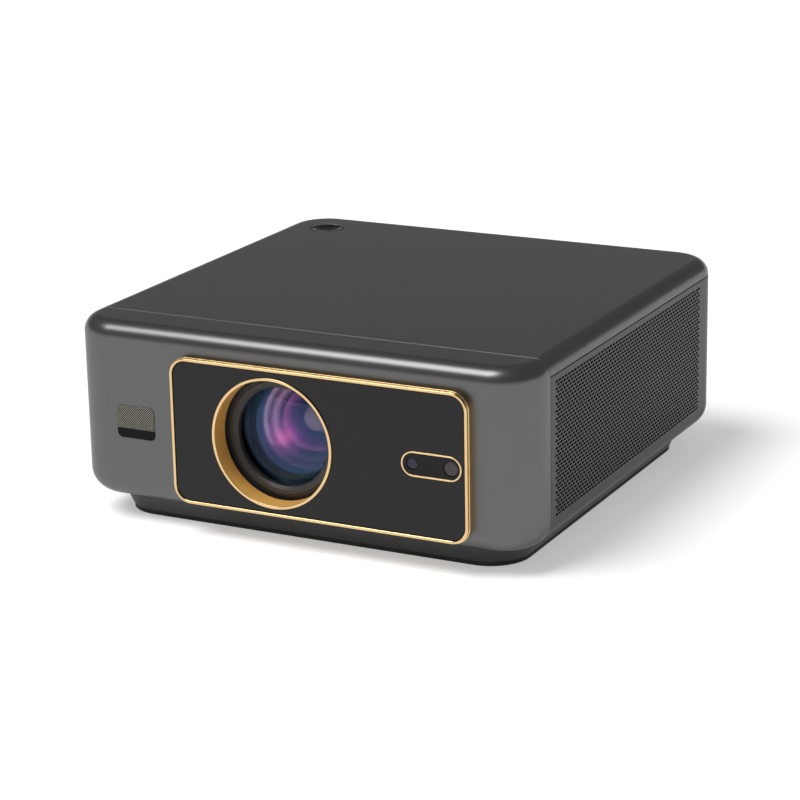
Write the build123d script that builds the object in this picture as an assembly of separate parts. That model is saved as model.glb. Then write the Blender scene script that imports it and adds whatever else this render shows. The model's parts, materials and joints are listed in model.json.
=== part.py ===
"""Home projector: a low, square cabinet with a gold-framed glass front, built as separate pieces.

Frame: +Z up, the front faces -Y, and the origin is the middle of the footprint on the table.
A depth "d" is measured backwards from the cabinet's front face, and a "rise" up from its underside.
"""

import math
import os

from build123d import *

# ---------------------------------------------------------------- cabinet
BODY_WIDTH = 241.0
BODY_DEPTH = 241.0
BODY_HEIGHT = 88.0
CORNER_RADIUS = 22.0
TOP_EDGE_RADIUS = 8.0
BOTTOM_EDGE_RADIUS = 11.5
WALL = 2.5
SEAM = 0.3
FRONT_SHELL_DEPTH = 24.7
LIP_WIDTH = 18.0
TAB = 1.2
TAB_REACH = 4.0
TAB_WIDTH = 12.0
TAB_PITCH = 62.0
FIT = 0.15
RUN = 0.3

# ---------------------------------------------------------------- plinth and pad
PAD_HEIGHT = 2.3
PAD_WIDTH = 12.0
PAD_SETBACK = 0.5
PLINTH_HEIGHT = 8.7
PLINTH_TOP_INSET = 11.7
PLINTH_FLARE = 2.9
PLINTH_CORNER = 20.0
PLINTH_WALL = 2.6
FLOOR = 2.5
VENT_SLOTS = 7
VENT_PITCH = 9.0
VENT_WIDTH = 3.0
VENT_LENGTH = 30.0

# ---------------------------------------------------------------- side grilles
GRILLE_MARGIN = 30.65
GRILLE_TOP_MARGIN = 3.1
GRILLE_BOTTOM_MARGIN = 1.2
GRILLE_PITCH = 7.0
GRILLE_HOLE = 4.4

# ---------------------------------------------------------------- front window
BEZEL_LEFT_MARGIN = 58.9
BEZEL_RIGHT_MARGIN = 27.3
BEZEL_TOP_MARGIN = 11.0
BEZEL_BOTTOM_MARGIN = 5.0
BEZEL_RADIUS = 9.0
BEZEL_PROUD = 4.7
BEZEL_STEP = 0.4
BEZEL_STEP_DEPTH = 1.5
BEZEL_LAND = 1.4
SPIGOT_INSET = 1.6
SPIGOT_LENGTH = 3.5
GLASS_RECESS = 0.8
GLASS_THICKNESS = 2.0
GLASS_LEDGE = 0.9

# ---------------------------------------------------------------- sensor window and badge
SENSOR_MARGIN = 18.6
SENSOR_WIDTH = 30.3
SENSOR_HEIGHT = 12.0
SENSOR_TRIM = 0.8
SENSOR_TRIM_PROUD = 0.2
SENSOR_SPACING = 19.4
SENSOR_LENGTH = 4.6
CAMERA_RADIUS = 2.8
RANGER_RADIUS = 3.6
BOARD_CORNER = 1.5
SENSOR_BOARD = 1.2
SENSOR_RIM = 0.8
SENSOR_RECESS = 1.0
BADGE_MARGIN = 36.8
BADGE_RISE = 40.3
BADGE_WIDTH = 20.8
BADGE_HEIGHT = 16.0
BADGE_RADIUS = 2.6
BADGE_RECESS = 1.0
BADGE_PROUD = 0.4

# ---------------------------------------------------------------- lens
AXIS_X = -7.5
AXIS_RISE = 40.7
TRIM_RADIUS = 31.6
TRIM_LAND = 1.4
TRIM_FLANGE = 1.2
TRIM_FLANGE_THICKNESS = 1.5
TUNNEL_DEPTH = 9.7
BARREL_RADIUS = 28.9
BARREL_SETBACK = 10.5
BARREL_LENGTH = 52.0
BARREL_RIM = 1.3
BARREL_RIM_SETBACK = 1.0
LENS_APERTURE = 24.0
LIP_THICKNESS = 3.95
FRONT_LENS_RADIUS = 26.0
FRONT_LENS_SETBACK = 4.7
FRONT_LENS_EDGE = 4.0
FRONT_LENS_CURVE = 75.0
INNER_LENS_RADIUS = 22.0
INNER_LENS_STEP = 1.5
MIDDLE_LENS_SETBACK = 23.0
MIDDLE_LENS_EDGE = 7.0
REAR_LENS_SETBACK = 43.0
REAR_LENS_EDGE = 3.0
INNER_LENS_CURVE = 60.0
SEAT_RELIEF = 0.6
LENS_BAND_COUNT = 3

# ---------------------------------------------------------------- focus drive
FOCUS_TRAVEL = 6.0
FOCUS_TURN = 80.0
TUBE_WALL = 2.3
TUBE_START = 7.5
TUBE_FLANGE = 4.0
TUBE_FLANGE_RADIUS = 38.0
CAM_PIN_RADIUS = 2.0
CAM_PIN_COUNT = 3
CAM_PIN_SETBACK = 34.2
CAM_PIN_ANGLE = 80.0
CAM_PIN_SEAT = 3.0
CAM_WALL = 2.4
CAM_RING_START = 30.0
CAM_RING_LENGTH = 16.0
SHOULDER_LENGTH = 2.0
SHOULDER_HEIGHT = 2.0
CLIP_WIDTH = 1.4
CLIP_HEIGHT = 3.0
CLIP_GROOVE = 1.0
CLIP_GAP_ANGLE = 50.0
GEAR_MODULE = 1.5
GEAR_TEETH = 48
PINION_TEETH = 12
GEAR_WIDTH = 6.0
TOOTH_SHARE = 0.40
ADDENDUM = 0.9
DEDENDUM = 1.2
PRESSURE_ANGLE = 20.0
PINION_DIRECTION = 210.0
MOTOR_RADIUS = 10.0
MOTOR_LENGTH = 15.0
MOTOR_GAP = 1.2
MOTOR_EAR = 14.5
MOTOR_EAR_WIDTH = 8.0
MOTOR_EAR_THICKNESS = 1.6
SHAFT_RADIUS = 1.5
SHAFT_FIT = 0.08
PILLAR_RADIUS = 2.6

# ---------------------------------------------------------------- light engine
ENGINE_WIDTH = 112.0
ENGINE_DEPTH = 90.0
ENGINE_HEIGHT = 64.0
ENGINE_X = 6.0
ENGINE_START = 66.0
ENGINE_WALL = 3.0
ENGINE_COVER = 2.5
ENGINE_CORNER = 5.0
ENGINE_PORT = 27.0
MIRROR_LENGTH = 76.0
MIRROR_THICKNESS = 3.0
PLATE_RIB = 1.6
PLATE_RIB_DEPTH = 4.0
FRESNEL_THICKNESS = 2.0
PANEL_THICKNESS = 2.8
HEAT_GLASS_THICKNESS = 1.6
FRONT_FRESNEL_X = 25.0
PANEL_X = 32.0
REAR_FRESNEL_X = 39.5
HEAT_GLASS_X = 47.0
LAMP_RADIUS = 21.0
LAMP_WALL = 2.0
LAMP_LENGTH = 12.0
LAMP_ENTRY = 6.0
CONDENSER_EDGE = 2.0
CONDENSER_CURVE = 34.0
LED_BOARD = 2.0
LED_BOARD_SIZE = 50.0
LED_RADIUS = 9.0
LED_HEIGHT = 1.0
SINK_SIZE = 62.0
SINK_BASE = 4.0
SINK_GAP = 1.5
SINK_FINS = 9
FIN_THICKNESS = 1.4

# ---------------------------------------------------------------- fans
FAN_THICKNESS = 15.0
FAN_WALL_GAP = 3.5
EXHAUST_FAN = 70.0
INTAKE_FAN = 60.0
INTAKE_FAN_SETBACK = 91.0
FAN_RIM = 2.5
FAN_CORNER = 5.0
FAN_BLADES = 7
BLADE_THICKNESS = 1.4
BLADE_CHORD = 11.0
BLADE_ANGLE = 40.0
FAN_HUB_RADIUS = 11.0
FAN_STRUT = 3.0
FAN_BACK = 2.0
FAN_BOSS_RADIUS = 3.2
FILTER_THICKNESS = 1.8
FILTER_START = 94.0
FILTER_END_GAP = 7.0
FILTER_HEIGHT = 58.0

# ---------------------------------------------------------------- speakers
SPEAKER_DEPTH = 42.0
SPEAKER_HEIGHT = 62.0
SPEAKER_THICKNESS = 31.0
SPEAKER_START = 31.0
SPEAKER_CORNER = 4.0
DRIVER_RADIUS = 19.0
DRIVER_FLANGE = 2.0
DRIVER_DEPTH = 20.0
CONE_DEPTH = 8.0
CONE_THROAT = 6.0
MAGNET_RADIUS = 15.0
SPEAKER_POST_INSET = 9.0

# ---------------------------------------------------------------- boards and sockets
BOARD = 1.6
MAIN_BOARD_START = -44.0
MAIN_BOARD_RISE = 25.0
MAIN_BOARD_SIDE_GAP = 2.0
MAIN_BOARD_FRONT_GAP = 12.0
MAIN_BOARD_BACK_GAP = 4.5
CHIP_SINK_SIZE = 32.0
CHIP_SINK_HEIGHT = 12.0
CHIP_SINK_FINS = 6
CHIP_SINK_GAP = 6.0
POWER_BOARD_RISE = 12.0
POWER_BOARD_START = 88.0
POWER_BOARD_BACK_GAP = 28.5
POWER_BOARD_GAP = 4.0
POWER_BOARD_FAN_GAP = 5.5
POWER_PART_MARGIN = 6.0
TRANSFORMER_START = 20.0
TRANSFORMER_LENGTH = 30.0
TRANSFORMER_HEIGHT = 26.0
CAPACITOR_RADIUS = 8.0
CAPACITOR_HEIGHT = 28.0
CAPACITOR_PITCH = 18.0
SPREADER_WIDTH = 3.0
SPREADER_HEIGHT = 30.0
SPREADER_END = 18.0
PART_GAP = 6.0
BOARD_POST_INSET = 6.0
BOARD_POST_SETBACK = 15.0
POST_WIDTH = 6.0
PORT_PLATE_WIDTH = 164.0
PORT_PLATE_HEIGHT = 30.0
PORT_PLATE_X = -2.0
PORT_PLATE_THICKNESS = 2.0
PORT_PLATE_LAP = 3.0
PORT_PLATE_RADIUS = 4.0
PORT_CENTRE = 7.0
PORT_WALL = 0.7
HDMI_SIZE = (15.4, 6.4, 12.0)
HDMI_X = (-34.0, -11.0)
USB_SIZE = (14.4, 7.2, 14.0)
USB_X = (11.0, 31.0)
JACK_SIZE = (8.0, 8.0, 12.0)
JACK_X = (46.5, 58.0)
JACK_BORE = 1.8
RECEIVER_X = 70.0
RECEIVER_RADIUS = 3.5
RECEIVER_LENGTH = 6.0
INLET_X = -61.0
INLET_WIDTH = 25.0
INLET_HEIGHT = 18.0
INLET_DEPTH = 18.0
INLET_MOUTH_WIDTH = 17.6
INLET_MOUTH_HEIGHT = 9.6
INLET_MOUTH_DEPTH = 12.0
INLET_PIN_SPACING = 8.6
INLET_PIN_RADIUS = 1.15
INLET_PIN_SETBACK = 1.5

# ---------------------------------------------------------------- power button
BUTTON_MARGIN = 26.3
BUTTON_SETBACK = 28.5
BUTTON_RADIUS = 8.8
BUTTON_DISH = 1.5
BUTTON_RIM = 1.0
BUTTON_TRAVEL = 0.8
BUTTON_FLANGE = 1.5
BUTTON_STEM_RADIUS = 2.4
GUIDE_WALL = 1.6
GUIDE_DEPTH = 7.5
KEY_BOARD_DROP = 20.0
KEY_BOARD_WIDTH = 19.0
KEY_BOARD_DEPTH = 21.0
KEY_BOARD_SHIFT = -4.5
KEY_PEG_RADIUS = 2.0
SWITCH_SIZE = 6.0
SWITCH_HEIGHT = 4.0
PLUNGER_RADIUS = 1.6
PLUNGER_LENGTH = 3.0
PLUNGER_SHOW = 1.4

# ---------------------------------------------------------------- fasteners and inserts
FRONT_COLUMN_MARGIN = 50.5
FRONT_COLUMN_D = 34.0
REAR_COLUMN_MARGIN = 42.5
REAR_COLUMN_SETBACK = 25.0
COLUMN_RADIUS = 4.0
BOSS_RADIUS = 5.0
BOSS_HEIGHT = 9.2
FRONT_SCREW_MARGIN = 28.5
FRONT_SCREW_D = 20.3
SCREW_RADIUS = 1.5
SCREW_HEAD_RADIUS = 2.8
SCREW_HEAD = 1.8
SCREW_LENGTH = 18.0
INSERT_SPACING = 100.0
INSERT_RADIUS = 3.2
INSERT_BORE = 2.0
INSERT_LENGTH = 8.0

# ---------------------------------------------------------------- places worked out from the sizes
X_SIDE = BODY_WIDTH / 2
BEZEL_WIDTH = BODY_WIDTH - BEZEL_LEFT_MARGIN - BEZEL_RIGHT_MARGIN
BEZEL_HEIGHT = BODY_HEIGHT - BEZEL_TOP_MARGIN - BEZEL_BOTTOM_MARGIN
BEZEL_X = (BEZEL_LEFT_MARGIN - BEZEL_RIGHT_MARGIN) / 2
SENSOR_X = BEZEL_X + BEZEL_WIDTH / 2 - SENSOR_MARGIN
BADGE_X = BADGE_MARGIN - X_SIDE
BUTTON_X = BUTTON_MARGIN - X_SIDE
GRILLE_LENGTH = BODY_DEPTH - 2 * GRILLE_MARGIN
Y_FRONT = (BEZEL_PROUD - BODY_DEPTH) / 2
Y_BACK = Y_FRONT + BODY_DEPTH
Y_MIDDLE = (Y_FRONT + Y_BACK) / 2
Y_SEAM = Y_FRONT + FRONT_SHELL_DEPTH
Z_SHELL = PAD_HEIGHT + PLINTH_HEIGHT
Z_TOP = Z_SHELL + BODY_HEIGHT
Z_SEAM = Z_TOP - TOP_EDGE_RADIUS
Z_FLOOR = PAD_HEIGHT + FLOOR
Z_AXIS = Z_SHELL + AXIS_RISE
Z_BEZEL = Z_SHELL + BEZEL_BOTTOM_MARGIN + BEZEL_HEIGHT / 2
Z_GRILLE_TOP = Z_SEAM - GRILLE_TOP_MARGIN
GRILLE_HEIGHT = Z_GRILLE_TOP - Z_SHELL - BOTTOM_EDGE_RADIUS - GRILLE_BOTTOM_MARGIN
Z_BOSS = Z_FLOOR + BOSS_HEIGHT
PLINTH_BOTTOM_INSET = PLINTH_TOP_INSET + PLINTH_FLARE
Y_LAND = Y_FRONT - BEZEL_PROUD
Y_GLASS = Y_LAND + GLASS_RECESS
Y_GLASS_BACK = Y_GLASS + GLASS_THICKNESS
Y_BARREL = Y_LAND + BARREL_SETBACK
Y_ENGINE = Y_FRONT + ENGINE_START
Y_LAMP = Y_ENGINE + ENGINE_DEPTH / 2
Z_ENGINE = Z_AXIS - ENGINE_HEIGHT / 2
X_ENGINE = ENGINE_X + ENGINE_WIDTH / 2
TUBE_BORE = BARREL_RADIUS + RUN
TUBE_RADIUS = TUBE_BORE + TUBE_WALL
RING_BORE = TUBE_RADIUS + RUN
RING_RADIUS = RING_BORE + CAM_WALL
Y_RING = Y_FRONT + CAM_RING_START
Y_GEAR = Y_RING + CAM_RING_LENGTH
Y_GEAR_END = Y_GEAR + GEAR_WIDTH
Y_PIN = Y_BARREL + CAM_PIN_SETBACK
GEAR_RADIUS = GEAR_MODULE * GEAR_TEETH / 2
PINION_RADIUS = GEAR_MODULE * PINION_TEETH / 2
PINION_X = AXIS_X + (GEAR_RADIUS + PINION_RADIUS) * math.cos(math.radians(PINION_DIRECTION))
PINION_Z = Z_AXIS - (GEAR_RADIUS + PINION_RADIUS) * math.sin(math.radians(PINION_DIRECTION))
Z_MAIN_BOARD = Z_FLOOR + MAIN_BOARD_RISE
Z_POWER_BOARD = Z_FLOOR + POWER_BOARD_RISE
Z_PORTS = Z_MAIN_BOARD + BOARD + PORT_CENTRE
Y_PORTS = Y_BACK - WALL
Y_BUTTON = Y_BACK - BUTTON_SETBACK
Z_GUIDE = Z_TOP - GUIDE_DEPTH
Z_KEY_BOARD = Z_TOP - KEY_BOARD_DROP
Z_SWITCH = Z_KEY_BOARD + BOARD + SWITCH_HEIGHT
X_FAN = X_SIDE - WALL - FAN_WALL_GAP
Y_INTAKE = Y_BACK - INTAKE_FAN_SETBACK
SPEAKER_FACE = X_SIDE - WALL - RUN - DRIVER_FLANGE
REAR_COLUMN_X = X_SIDE - REAR_COLUMN_MARGIN
MAIN_BOARD_WIDTH = REAR_COLUMN_X - COLUMN_RADIUS - MAIN_BOARD_SIDE_GAP - MAIN_BOARD_START
MAIN_BOARD_X = MAIN_BOARD_START + MAIN_BOARD_WIDTH / 2
Y_MAIN_BOARD = Y_ENGINE + ENGINE_DEPTH + MAIN_BOARD_FRONT_GAP
MAIN_BOARD_DEPTH = Y_PORTS - MAIN_BOARD_BACK_GAP - Y_MAIN_BOARD
POWER_BOARD_END = X_ENGINE - ENGINE_WIDTH - POWER_BOARD_GAP
POWER_BOARD_WIDTH = POWER_BOARD_END + X_FAN - FAN_THICKNESS - POWER_BOARD_FAN_GAP
POWER_BOARD_X = POWER_BOARD_END - POWER_BOARD_WIDTH / 2
Y_POWER_BOARD = Y_FRONT + POWER_BOARD_START
POWER_BOARD_DEPTH = Y_PORTS - POWER_BOARD_BACK_GAP - Y_POWER_BOARD
FRONT_COLUMNS = [(side * (X_SIDE - FRONT_COLUMN_MARGIN), Y_FRONT + FRONT_COLUMN_D) for side in (-1, 1)]
REAR_COLUMNS = [(side * REAR_COLUMN_X, Y_BACK - REAR_COLUMN_SETBACK) for side in (-1, 1)]
COLUMNS = FRONT_COLUMNS + REAR_COLUMNS
FRONT_SCREWS = [(side * (X_SIDE - FRONT_SCREW_MARGIN), Y_FRONT + FRONT_SCREW_D) for side in (-1, 1)]
INSERTS = [(i * INSERT_SPACING / 2, Y_MIDDLE + j * INSERT_SPACING / 2)
           for i in (-1, 1) for j in (-1, 1)]


# ---------------------------------------------------------------- building helpers
def at(x, y, z):
    """Move to a point."""
    return Location((x, y, z))


def block(x0, x1, y0, y1, z0, z1):
    """Box between two corners."""
    return at((x0 + x1) / 2, (y0 + y1) / 2, (z0 + z1) / 2) * Box(x1 - x0, y1 - y0, z1 - z0)


def upright(radius, x, y, z0, z1):
    """Vertical cylinder."""
    return at(x, y, (z0 + z1) / 2) * Cylinder(radius, z1 - z0)


def along_y(radius, x, z, y0, y1):
    """Cylinder along Y."""
    return at(x, (y0 + y1) / 2, z) * Rot(90, 0, 0) * Cylinder(radius, y1 - y0)


def along_x(radius, y, z, x0, x1):
    """Cylinder along X."""
    return at((x0 + x1) / 2, y, z) * Rot(0, 90, 0) * Cylinder(radius, x1 - x0)


def plan_slab(inset, radius, z0, z1):
    """Upright slab with the cabinet's plan, pulled in by inset, with round corners."""
    outline = RectangleRounded(BODY_WIDTH - 2 * inset, BODY_DEPTH - 2 * inset, radius)
    return extrude(at(0, Y_MIDDLE, z0) * outline, z1 - z0)


def front_slab(width, height, radius, x, z, y0, y1):
    """Slab parallel to the front, from y0 back to y1, with round corners."""
    outline = RectangleRounded(width, height, radius)
    return at(x, y1, z) * Rot(90, 0, 0) * extrude(outline, y1 - y0)


def stadium_slab(width, height, x, z, y0, y1):
    """Slab parallel to the front with fully round ends."""
    outline = SlotOverall(width, height)
    return at(x, y1, z) * Rot(90, 0, 0) * extrude(outline, y1 - y0)


def turned_y(section, x, z):
    """Ring about an axis along Y. The section is a closed list of (radius, y) corners."""
    return at(x, 0, z) * revolve(make_face(Polyline(*section, close=True)), Axis.Y, 360)


def bar(x, z, width, height, y0, y1):
    """Square-cornered bar along Y, centred on x and z."""
    return block(x - width / 2, x + width / 2, y0, y1, z - height / 2, z + height / 2)


def spread(count, pitch):
    """Evenly spaced places about zero."""
    return [(i - (count - 1) / 2) * pitch for i in range(count)]


# ---------------------------------------------------------------- cabinet shells
def cabinet_block(inset):
    """The cabinet's outer form, pulled in by inset all round."""
    body = plan_slab(inset, CORNER_RADIUS - inset, Z_SHELL + inset, Z_TOP - inset)
    body = fillet(body.edges().group_by(Axis.Z)[-1], TOP_EDGE_RADIUS - inset)
    return fillet(body.edges().group_by(Axis.Z)[0], BOTTOM_EDGE_RADIUS - inset)


def cabinet_skin():
    """Closed skin of the whole cabinet, with the plinth's opening in its underside."""
    opening = plan_slab(LIP_WIDTH, CORNER_RADIUS - WALL, Z_SHELL - 1, Z_SHELL + WALL + 1)
    return cabinet_block(0) - cabinet_block(WALL) - opening


def snap_tab(place, outward, reach):
    """Tab rooted on the skin's inner face at a seam. It reaches past the seam, clear of the next shell."""
    frame = Plane(origin=place, x_dir=Vector(reach).cross(Vector(outward)), z_dir=outward)
    tab = at(0, 0, -FIT - TAB / 2) * Box(TAB_WIDTH, 2 * TAB_REACH, TAB)
    root_height = TAB + 2 * FIT
    root = at(0, -(TAB_REACH + 1) / 2, FIT - root_height / 2) * Box(TAB_WIDTH, TAB_REACH - 1, root_height)
    return frame * (tab + root)


def front_tabs():
    """Places and outward directions of the front shell's tabs, along the top and both sides."""
    z_middle = (Z_SHELL + BOTTOM_EDGE_RADIUS + Z_SEAM) / 2
    top = [((x, Y_SEAM, Z_TOP - WALL), (0, 0, 1)) for x in spread(3, TAB_PITCH)]
    sides = [((i * (X_SIDE - WALL), Y_SEAM, z_middle), (i, 0, 0)) for i in (-1, 1)]
    return top + sides


def top_tabs():
    """Places and outward directions of the top cover's tabs, along both sides and the back."""
    sides = [((i * (X_SIDE - WALL), Y_MIDDLE + y, Z_SEAM), (i, 0, 0)) for i in (-1, 1)
             for y in spread(3, TAB_PITCH)]
    return sides + [((x, Y_BACK - WALL, Z_SEAM), (0, 1, 0)) for x in spread(3, TAB_PITCH)]


def screw_hole(x, y, z0, z1):
    return upright(SCREW_RADIUS + FIT / 2, x, y, z0, z1)


def make_front_shell(skin):
    """Front wrap: the face, two round corners and the strip over the top up to the seam."""
    shell = skin & block(-X_SIDE, X_SIDE, Y_FRONT, Y_SEAM - SEAM / 2, Z_SHELL, Z_TOP)
    shell += [snap_tab(place, outward, (0, 1, 0)) for place, outward in front_tabs()]
    inset = SPIGOT_INSET - FIT
    shell -= front_slab(BEZEL_WIDTH - 2 * inset, BEZEL_HEIGHT - 2 * inset, BEZEL_RADIUS - inset,
                        BEZEL_X, Z_BEZEL, Y_FRONT - 1, Y_FRONT + WALL + 1)
    shell -= front_slab(BADGE_WIDTH + 2 * FIT, BADGE_HEIGHT + 2 * FIT, BADGE_RADIUS + FIT,
                        BADGE_X, Z_SHELL + BADGE_RISE, Y_FRONT - 1, Y_FRONT + BADGE_RECESS)
    for x, y in FRONT_SCREWS:
        shell += upright(COLUMN_RADIUS, x, y, Z_SHELL, Z_SHELL + WALL + BOSS_HEIGHT)
        shell -= screw_hole(x, y, Z_SHELL - 1, PAD_HEIGHT + SCREW_LENGTH + 0.5)
    return shell


def make_top_cover(skin):
    """Top panel with its rounded edges, the button's guide, and the columns that the screws reach."""
    cover = skin & block(-X_SIDE, X_SIDE, Y_SEAM + SEAM / 2, Y_BACK, Z_SEAM + SEAM / 2, Z_TOP)
    cover += [snap_tab(place, outward, (0, 0, -1)) for place, outward in top_tabs()]
    z_inside = Z_TOP - WALL
    cover += upright(BUTTON_RADIUS + RUN + GUIDE_WALL, BUTTON_X, Y_BUTTON, Z_GUIDE, z_inside)
    cover -= upright(BUTTON_RADIUS + RUN, BUTTON_X, Y_BUTTON, Z_GUIDE - 1, Z_TOP + 1)
    for x, y in COLUMNS:
        cover += upright(COLUMN_RADIUS, x, y, Z_BOSS, z_inside)
        cover -= screw_hole(x, y, Z_BOSS - 1, PAD_HEIGHT + SCREW_LENGTH + 0.5)
    for x, y in key_pegs():
        cover += upright(KEY_PEG_RADIUS, x, y, Z_KEY_BOARD + BOARD, z_inside)
    return cover


def grille_cutters(side):
    """Staggered square-set holes through one side wall."""
    rows = int((GRILLE_HEIGHT - GRILLE_HOLE) / GRILLE_PITCH) + 1
    steps = int((GRILLE_LENGTH - GRILLE_HOLE) / GRILLE_PITCH) + 1
    z_middle = Z_GRILLE_TOP - GRILLE_HEIGHT / 2
    hole = Rot(45, 0, 0) * Box(4 * WALL, GRILLE_HOLE * math.sqrt(0.5), GRILLE_HOLE * math.sqrt(0.5))
    cutters = []
    for row, z in enumerate(spread(rows, GRILLE_PITCH)):
        for y in spread(steps, GRILLE_PITCH)[row % 2::2]:
            cutters.append(at(side * X_SIDE, Y_MIDDLE + y, z_middle + z) * hole)
    return cutters


def fan_bosses(side, y, size):
    """Screw bosses that carry a fan on the side wall."""
    reach = size / 2 - FAN_CORNER
    x0, x1 = sorted((side * X_FAN, side * (X_SIDE - WALL / 2)))
    return [along_x(FAN_BOSS_RADIUS, y + i * reach, Z_AXIS + j * reach, x0, x1)
            for i in (-1, 1) for j in (-1, 1)]


def make_side_housing(skin):
    """U-shaped housing: both perforated sides and the back with the window for the sockets."""
    housing = skin & block(-X_SIDE, X_SIDE, Y_SEAM + SEAM / 2, Y_BACK, Z_SHELL, Z_SEAM - SEAM / 2)
    housing -= grille_cutters(-1) + grille_cutters(1)
    lap = 2 * PORT_PLATE_LAP
    housing -= front_slab(PORT_PLATE_WIDTH - lap, PORT_PLATE_HEIGHT - lap, PORT_PLATE_RADIUS,
                          PORT_PLATE_X, Z_PORTS, Y_PORTS - 1, Y_BACK + 1)
    housing += fan_bosses(1, Y_LAMP, EXHAUST_FAN) + fan_bosses(-1, Y_INTAKE, INTAKE_FAN)
    return housing


# ---------------------------------------------------------------- plinth
def plinth_form(inset, z0):
    """Flared foot of the cabinet from z0 up to the shell's underside, pulled in by inset."""
    low = PLINTH_BOTTOM_INSET + inset
    high = PLINTH_TOP_INSET + inset
    corner = PLINTH_CORNER - inset
    bottom = RectangleRounded(BODY_WIDTH - 2 * low, BODY_DEPTH - 2 * low, corner)
    top = RectangleRounded(BODY_WIDTH - 2 * high, BODY_DEPTH - 2 * high, corner)
    return loft([at(0, Y_MIDDLE, z0) * bottom, at(0, Y_MIDDLE, Z_SHELL) * top])


def post(x, y, z1):
    """Square moulded post on the floor."""
    half = POST_WIDTH / 2
    return block(x - half, x + half, y - half, y + half, Z_FLOOR - 1, z1)


def board_posts(x, width, y0, deep):
    """Corner places of a board's posts."""
    reach = width / 2 - BOARD_POST_INSET
    return [(x + i * reach, y0 + d) for i in (-1, 1)
            for d in (BOARD_POST_SETBACK, deep - BOARD_POST_SETBACK)]


def engine_posts():
    reach = ENGINE_WIDTH / 2 - 3 * BOARD_POST_INSET
    half = ENGINE_DEPTH / 2 - 3 * BOARD_POST_INSET
    return [(ENGINE_X + i * reach, Y_LAMP + j * half) for i in (-1, 1) for j in (-1, 1)]


def speaker_posts():
    x = SPEAKER_FACE - SPEAKER_THICKNESS + SPEAKER_POST_INSET
    y = Y_FRONT + SPEAKER_START + SPEAKER_DEPTH / 2
    reach = SPEAKER_DEPTH / 2 - SPEAKER_POST_INSET
    return [(i * x, y + j * reach) for i in (-1, 1) for j in (-1, 1)]


def make_base_tray():
    """Floor of the projector: the flared plinth with posts, screw bosses, insert bosses and vents."""
    tray = plinth_form(0, PAD_HEIGHT) - plinth_form(PLINTH_WALL, Z_FLOOR)
    for x, y in COLUMNS + INSERTS:
        tray += upright(BOSS_RADIUS, x, y, PAD_HEIGHT, Z_BOSS)
    for x, y in FRONT_SCREWS:
        tray += upright(BOSS_RADIUS, x, y, PAD_HEIGHT, Z_SHELL)
    for x, y in board_posts(MAIN_BOARD_X, MAIN_BOARD_WIDTH, Y_MAIN_BOARD, MAIN_BOARD_DEPTH):
        tray += post(x, y, Z_MAIN_BOARD)
    for x, y in board_posts(POWER_BOARD_X, POWER_BOARD_WIDTH, Y_POWER_BOARD, POWER_BOARD_DEPTH):
        tray += post(x, y, Z_POWER_BOARD)
    for x, y in engine_posts():
        tray += post(x, y, Z_ENGINE)
    for x, y in speaker_posts():
        tray += post(x, y, Z_AXIS - SPEAKER_HEIGHT / 2)
    for x, y in COLUMNS + FRONT_SCREWS:
        tray -= screw_hole(x, y, PAD_HEIGHT - 1, Z_BOSS + 1)
        tray -= upright(SCREW_HEAD_RADIUS + FIT, x, y, PAD_HEIGHT - 1, PAD_HEIGHT + SCREW_HEAD)
    for x, y in INSERTS:
        tray -= upright(INSERT_RADIUS, x, y, PAD_HEIGHT - 1, PAD_HEIGHT + INSERT_LENGTH)
    y_vent = Y_MAIN_BOARD + MAIN_BOARD_DEPTH / 2
    for step in spread(VENT_SLOTS, VENT_PITCH):
        x = MAIN_BOARD_X + step
        tray -= block(x - VENT_WIDTH / 2, x + VENT_WIDTH / 2, y_vent - VENT_LENGTH / 2,
                      y_vent + VENT_LENGTH / 2, PAD_HEIGHT - 1, Z_FLOOR + 1)
    return tray


def make_base_pad():
    """One-piece rubber foot that runs round under the plinth."""
    inset = PLINTH_BOTTOM_INSET + PAD_SETBACK
    corner = PLINTH_CORNER - PAD_SETBACK
    ring = plan_slab(inset, corner, 0, PAD_HEIGHT)
    return ring - plan_slab(inset + PAD_WIDTH, corner - PAD_WIDTH, -1, PAD_HEIGHT + 1)


def make_case_screws():
    """The six screws that close the cabinet from below."""
    screws = []
    for x, y in COLUMNS + FRONT_SCREWS:
        head = upright(SCREW_HEAD_RADIUS, x, y, PAD_HEIGHT, PAD_HEIGHT + SCREW_HEAD)
        screws.append(head + upright(SCREW_RADIUS, x, y, PAD_HEIGHT + SCREW_HEAD, PAD_HEIGHT + SCREW_LENGTH))
    return Compound(children=screws)


def make_mount_inserts():
    """Threaded brass inserts for a ceiling or wall bracket."""
    inserts = []
    for x, y in INSERTS:
        sleeve = upright(INSERT_RADIUS, x, y, PAD_HEIGHT, PAD_HEIGHT + INSERT_LENGTH)
        inserts.append(sleeve - upright(INSERT_BORE, x, y, 0, Z_BOSS))
    return Compound(children=inserts)


# ---------------------------------------------------------------- front window
def make_bezel_frame():
    """Gold frame: a stepped ring proud of the face, with a ledge for the glass and a spigot behind."""
    width, height, radius = BEZEL_WIDTH, BEZEL_HEIGHT, BEZEL_RADIUS
    y_step = Y_LAND + BEZEL_STEP_DEPTH

    def ring(inset, y0, y1):
        return front_slab(width - 2 * inset, height - 2 * inset, radius - inset, BEZEL_X, Z_BEZEL, y0, y1)

    frame = ring(BEZEL_STEP, Y_LAND, y_step) + ring(0, y_step, Y_FRONT)
    frame += ring(SPIGOT_INSET, Y_FRONT, Y_FRONT + SPIGOT_LENGTH)
    pocket = BEZEL_STEP + BEZEL_LAND
    frame -= ring(pocket, Y_LAND - 1, Y_GLASS_BACK)
    return frame - ring(pocket + GLASS_LEDGE, Y_LAND, Y_FRONT + SPIGOT_LENGTH + 1)


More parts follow.
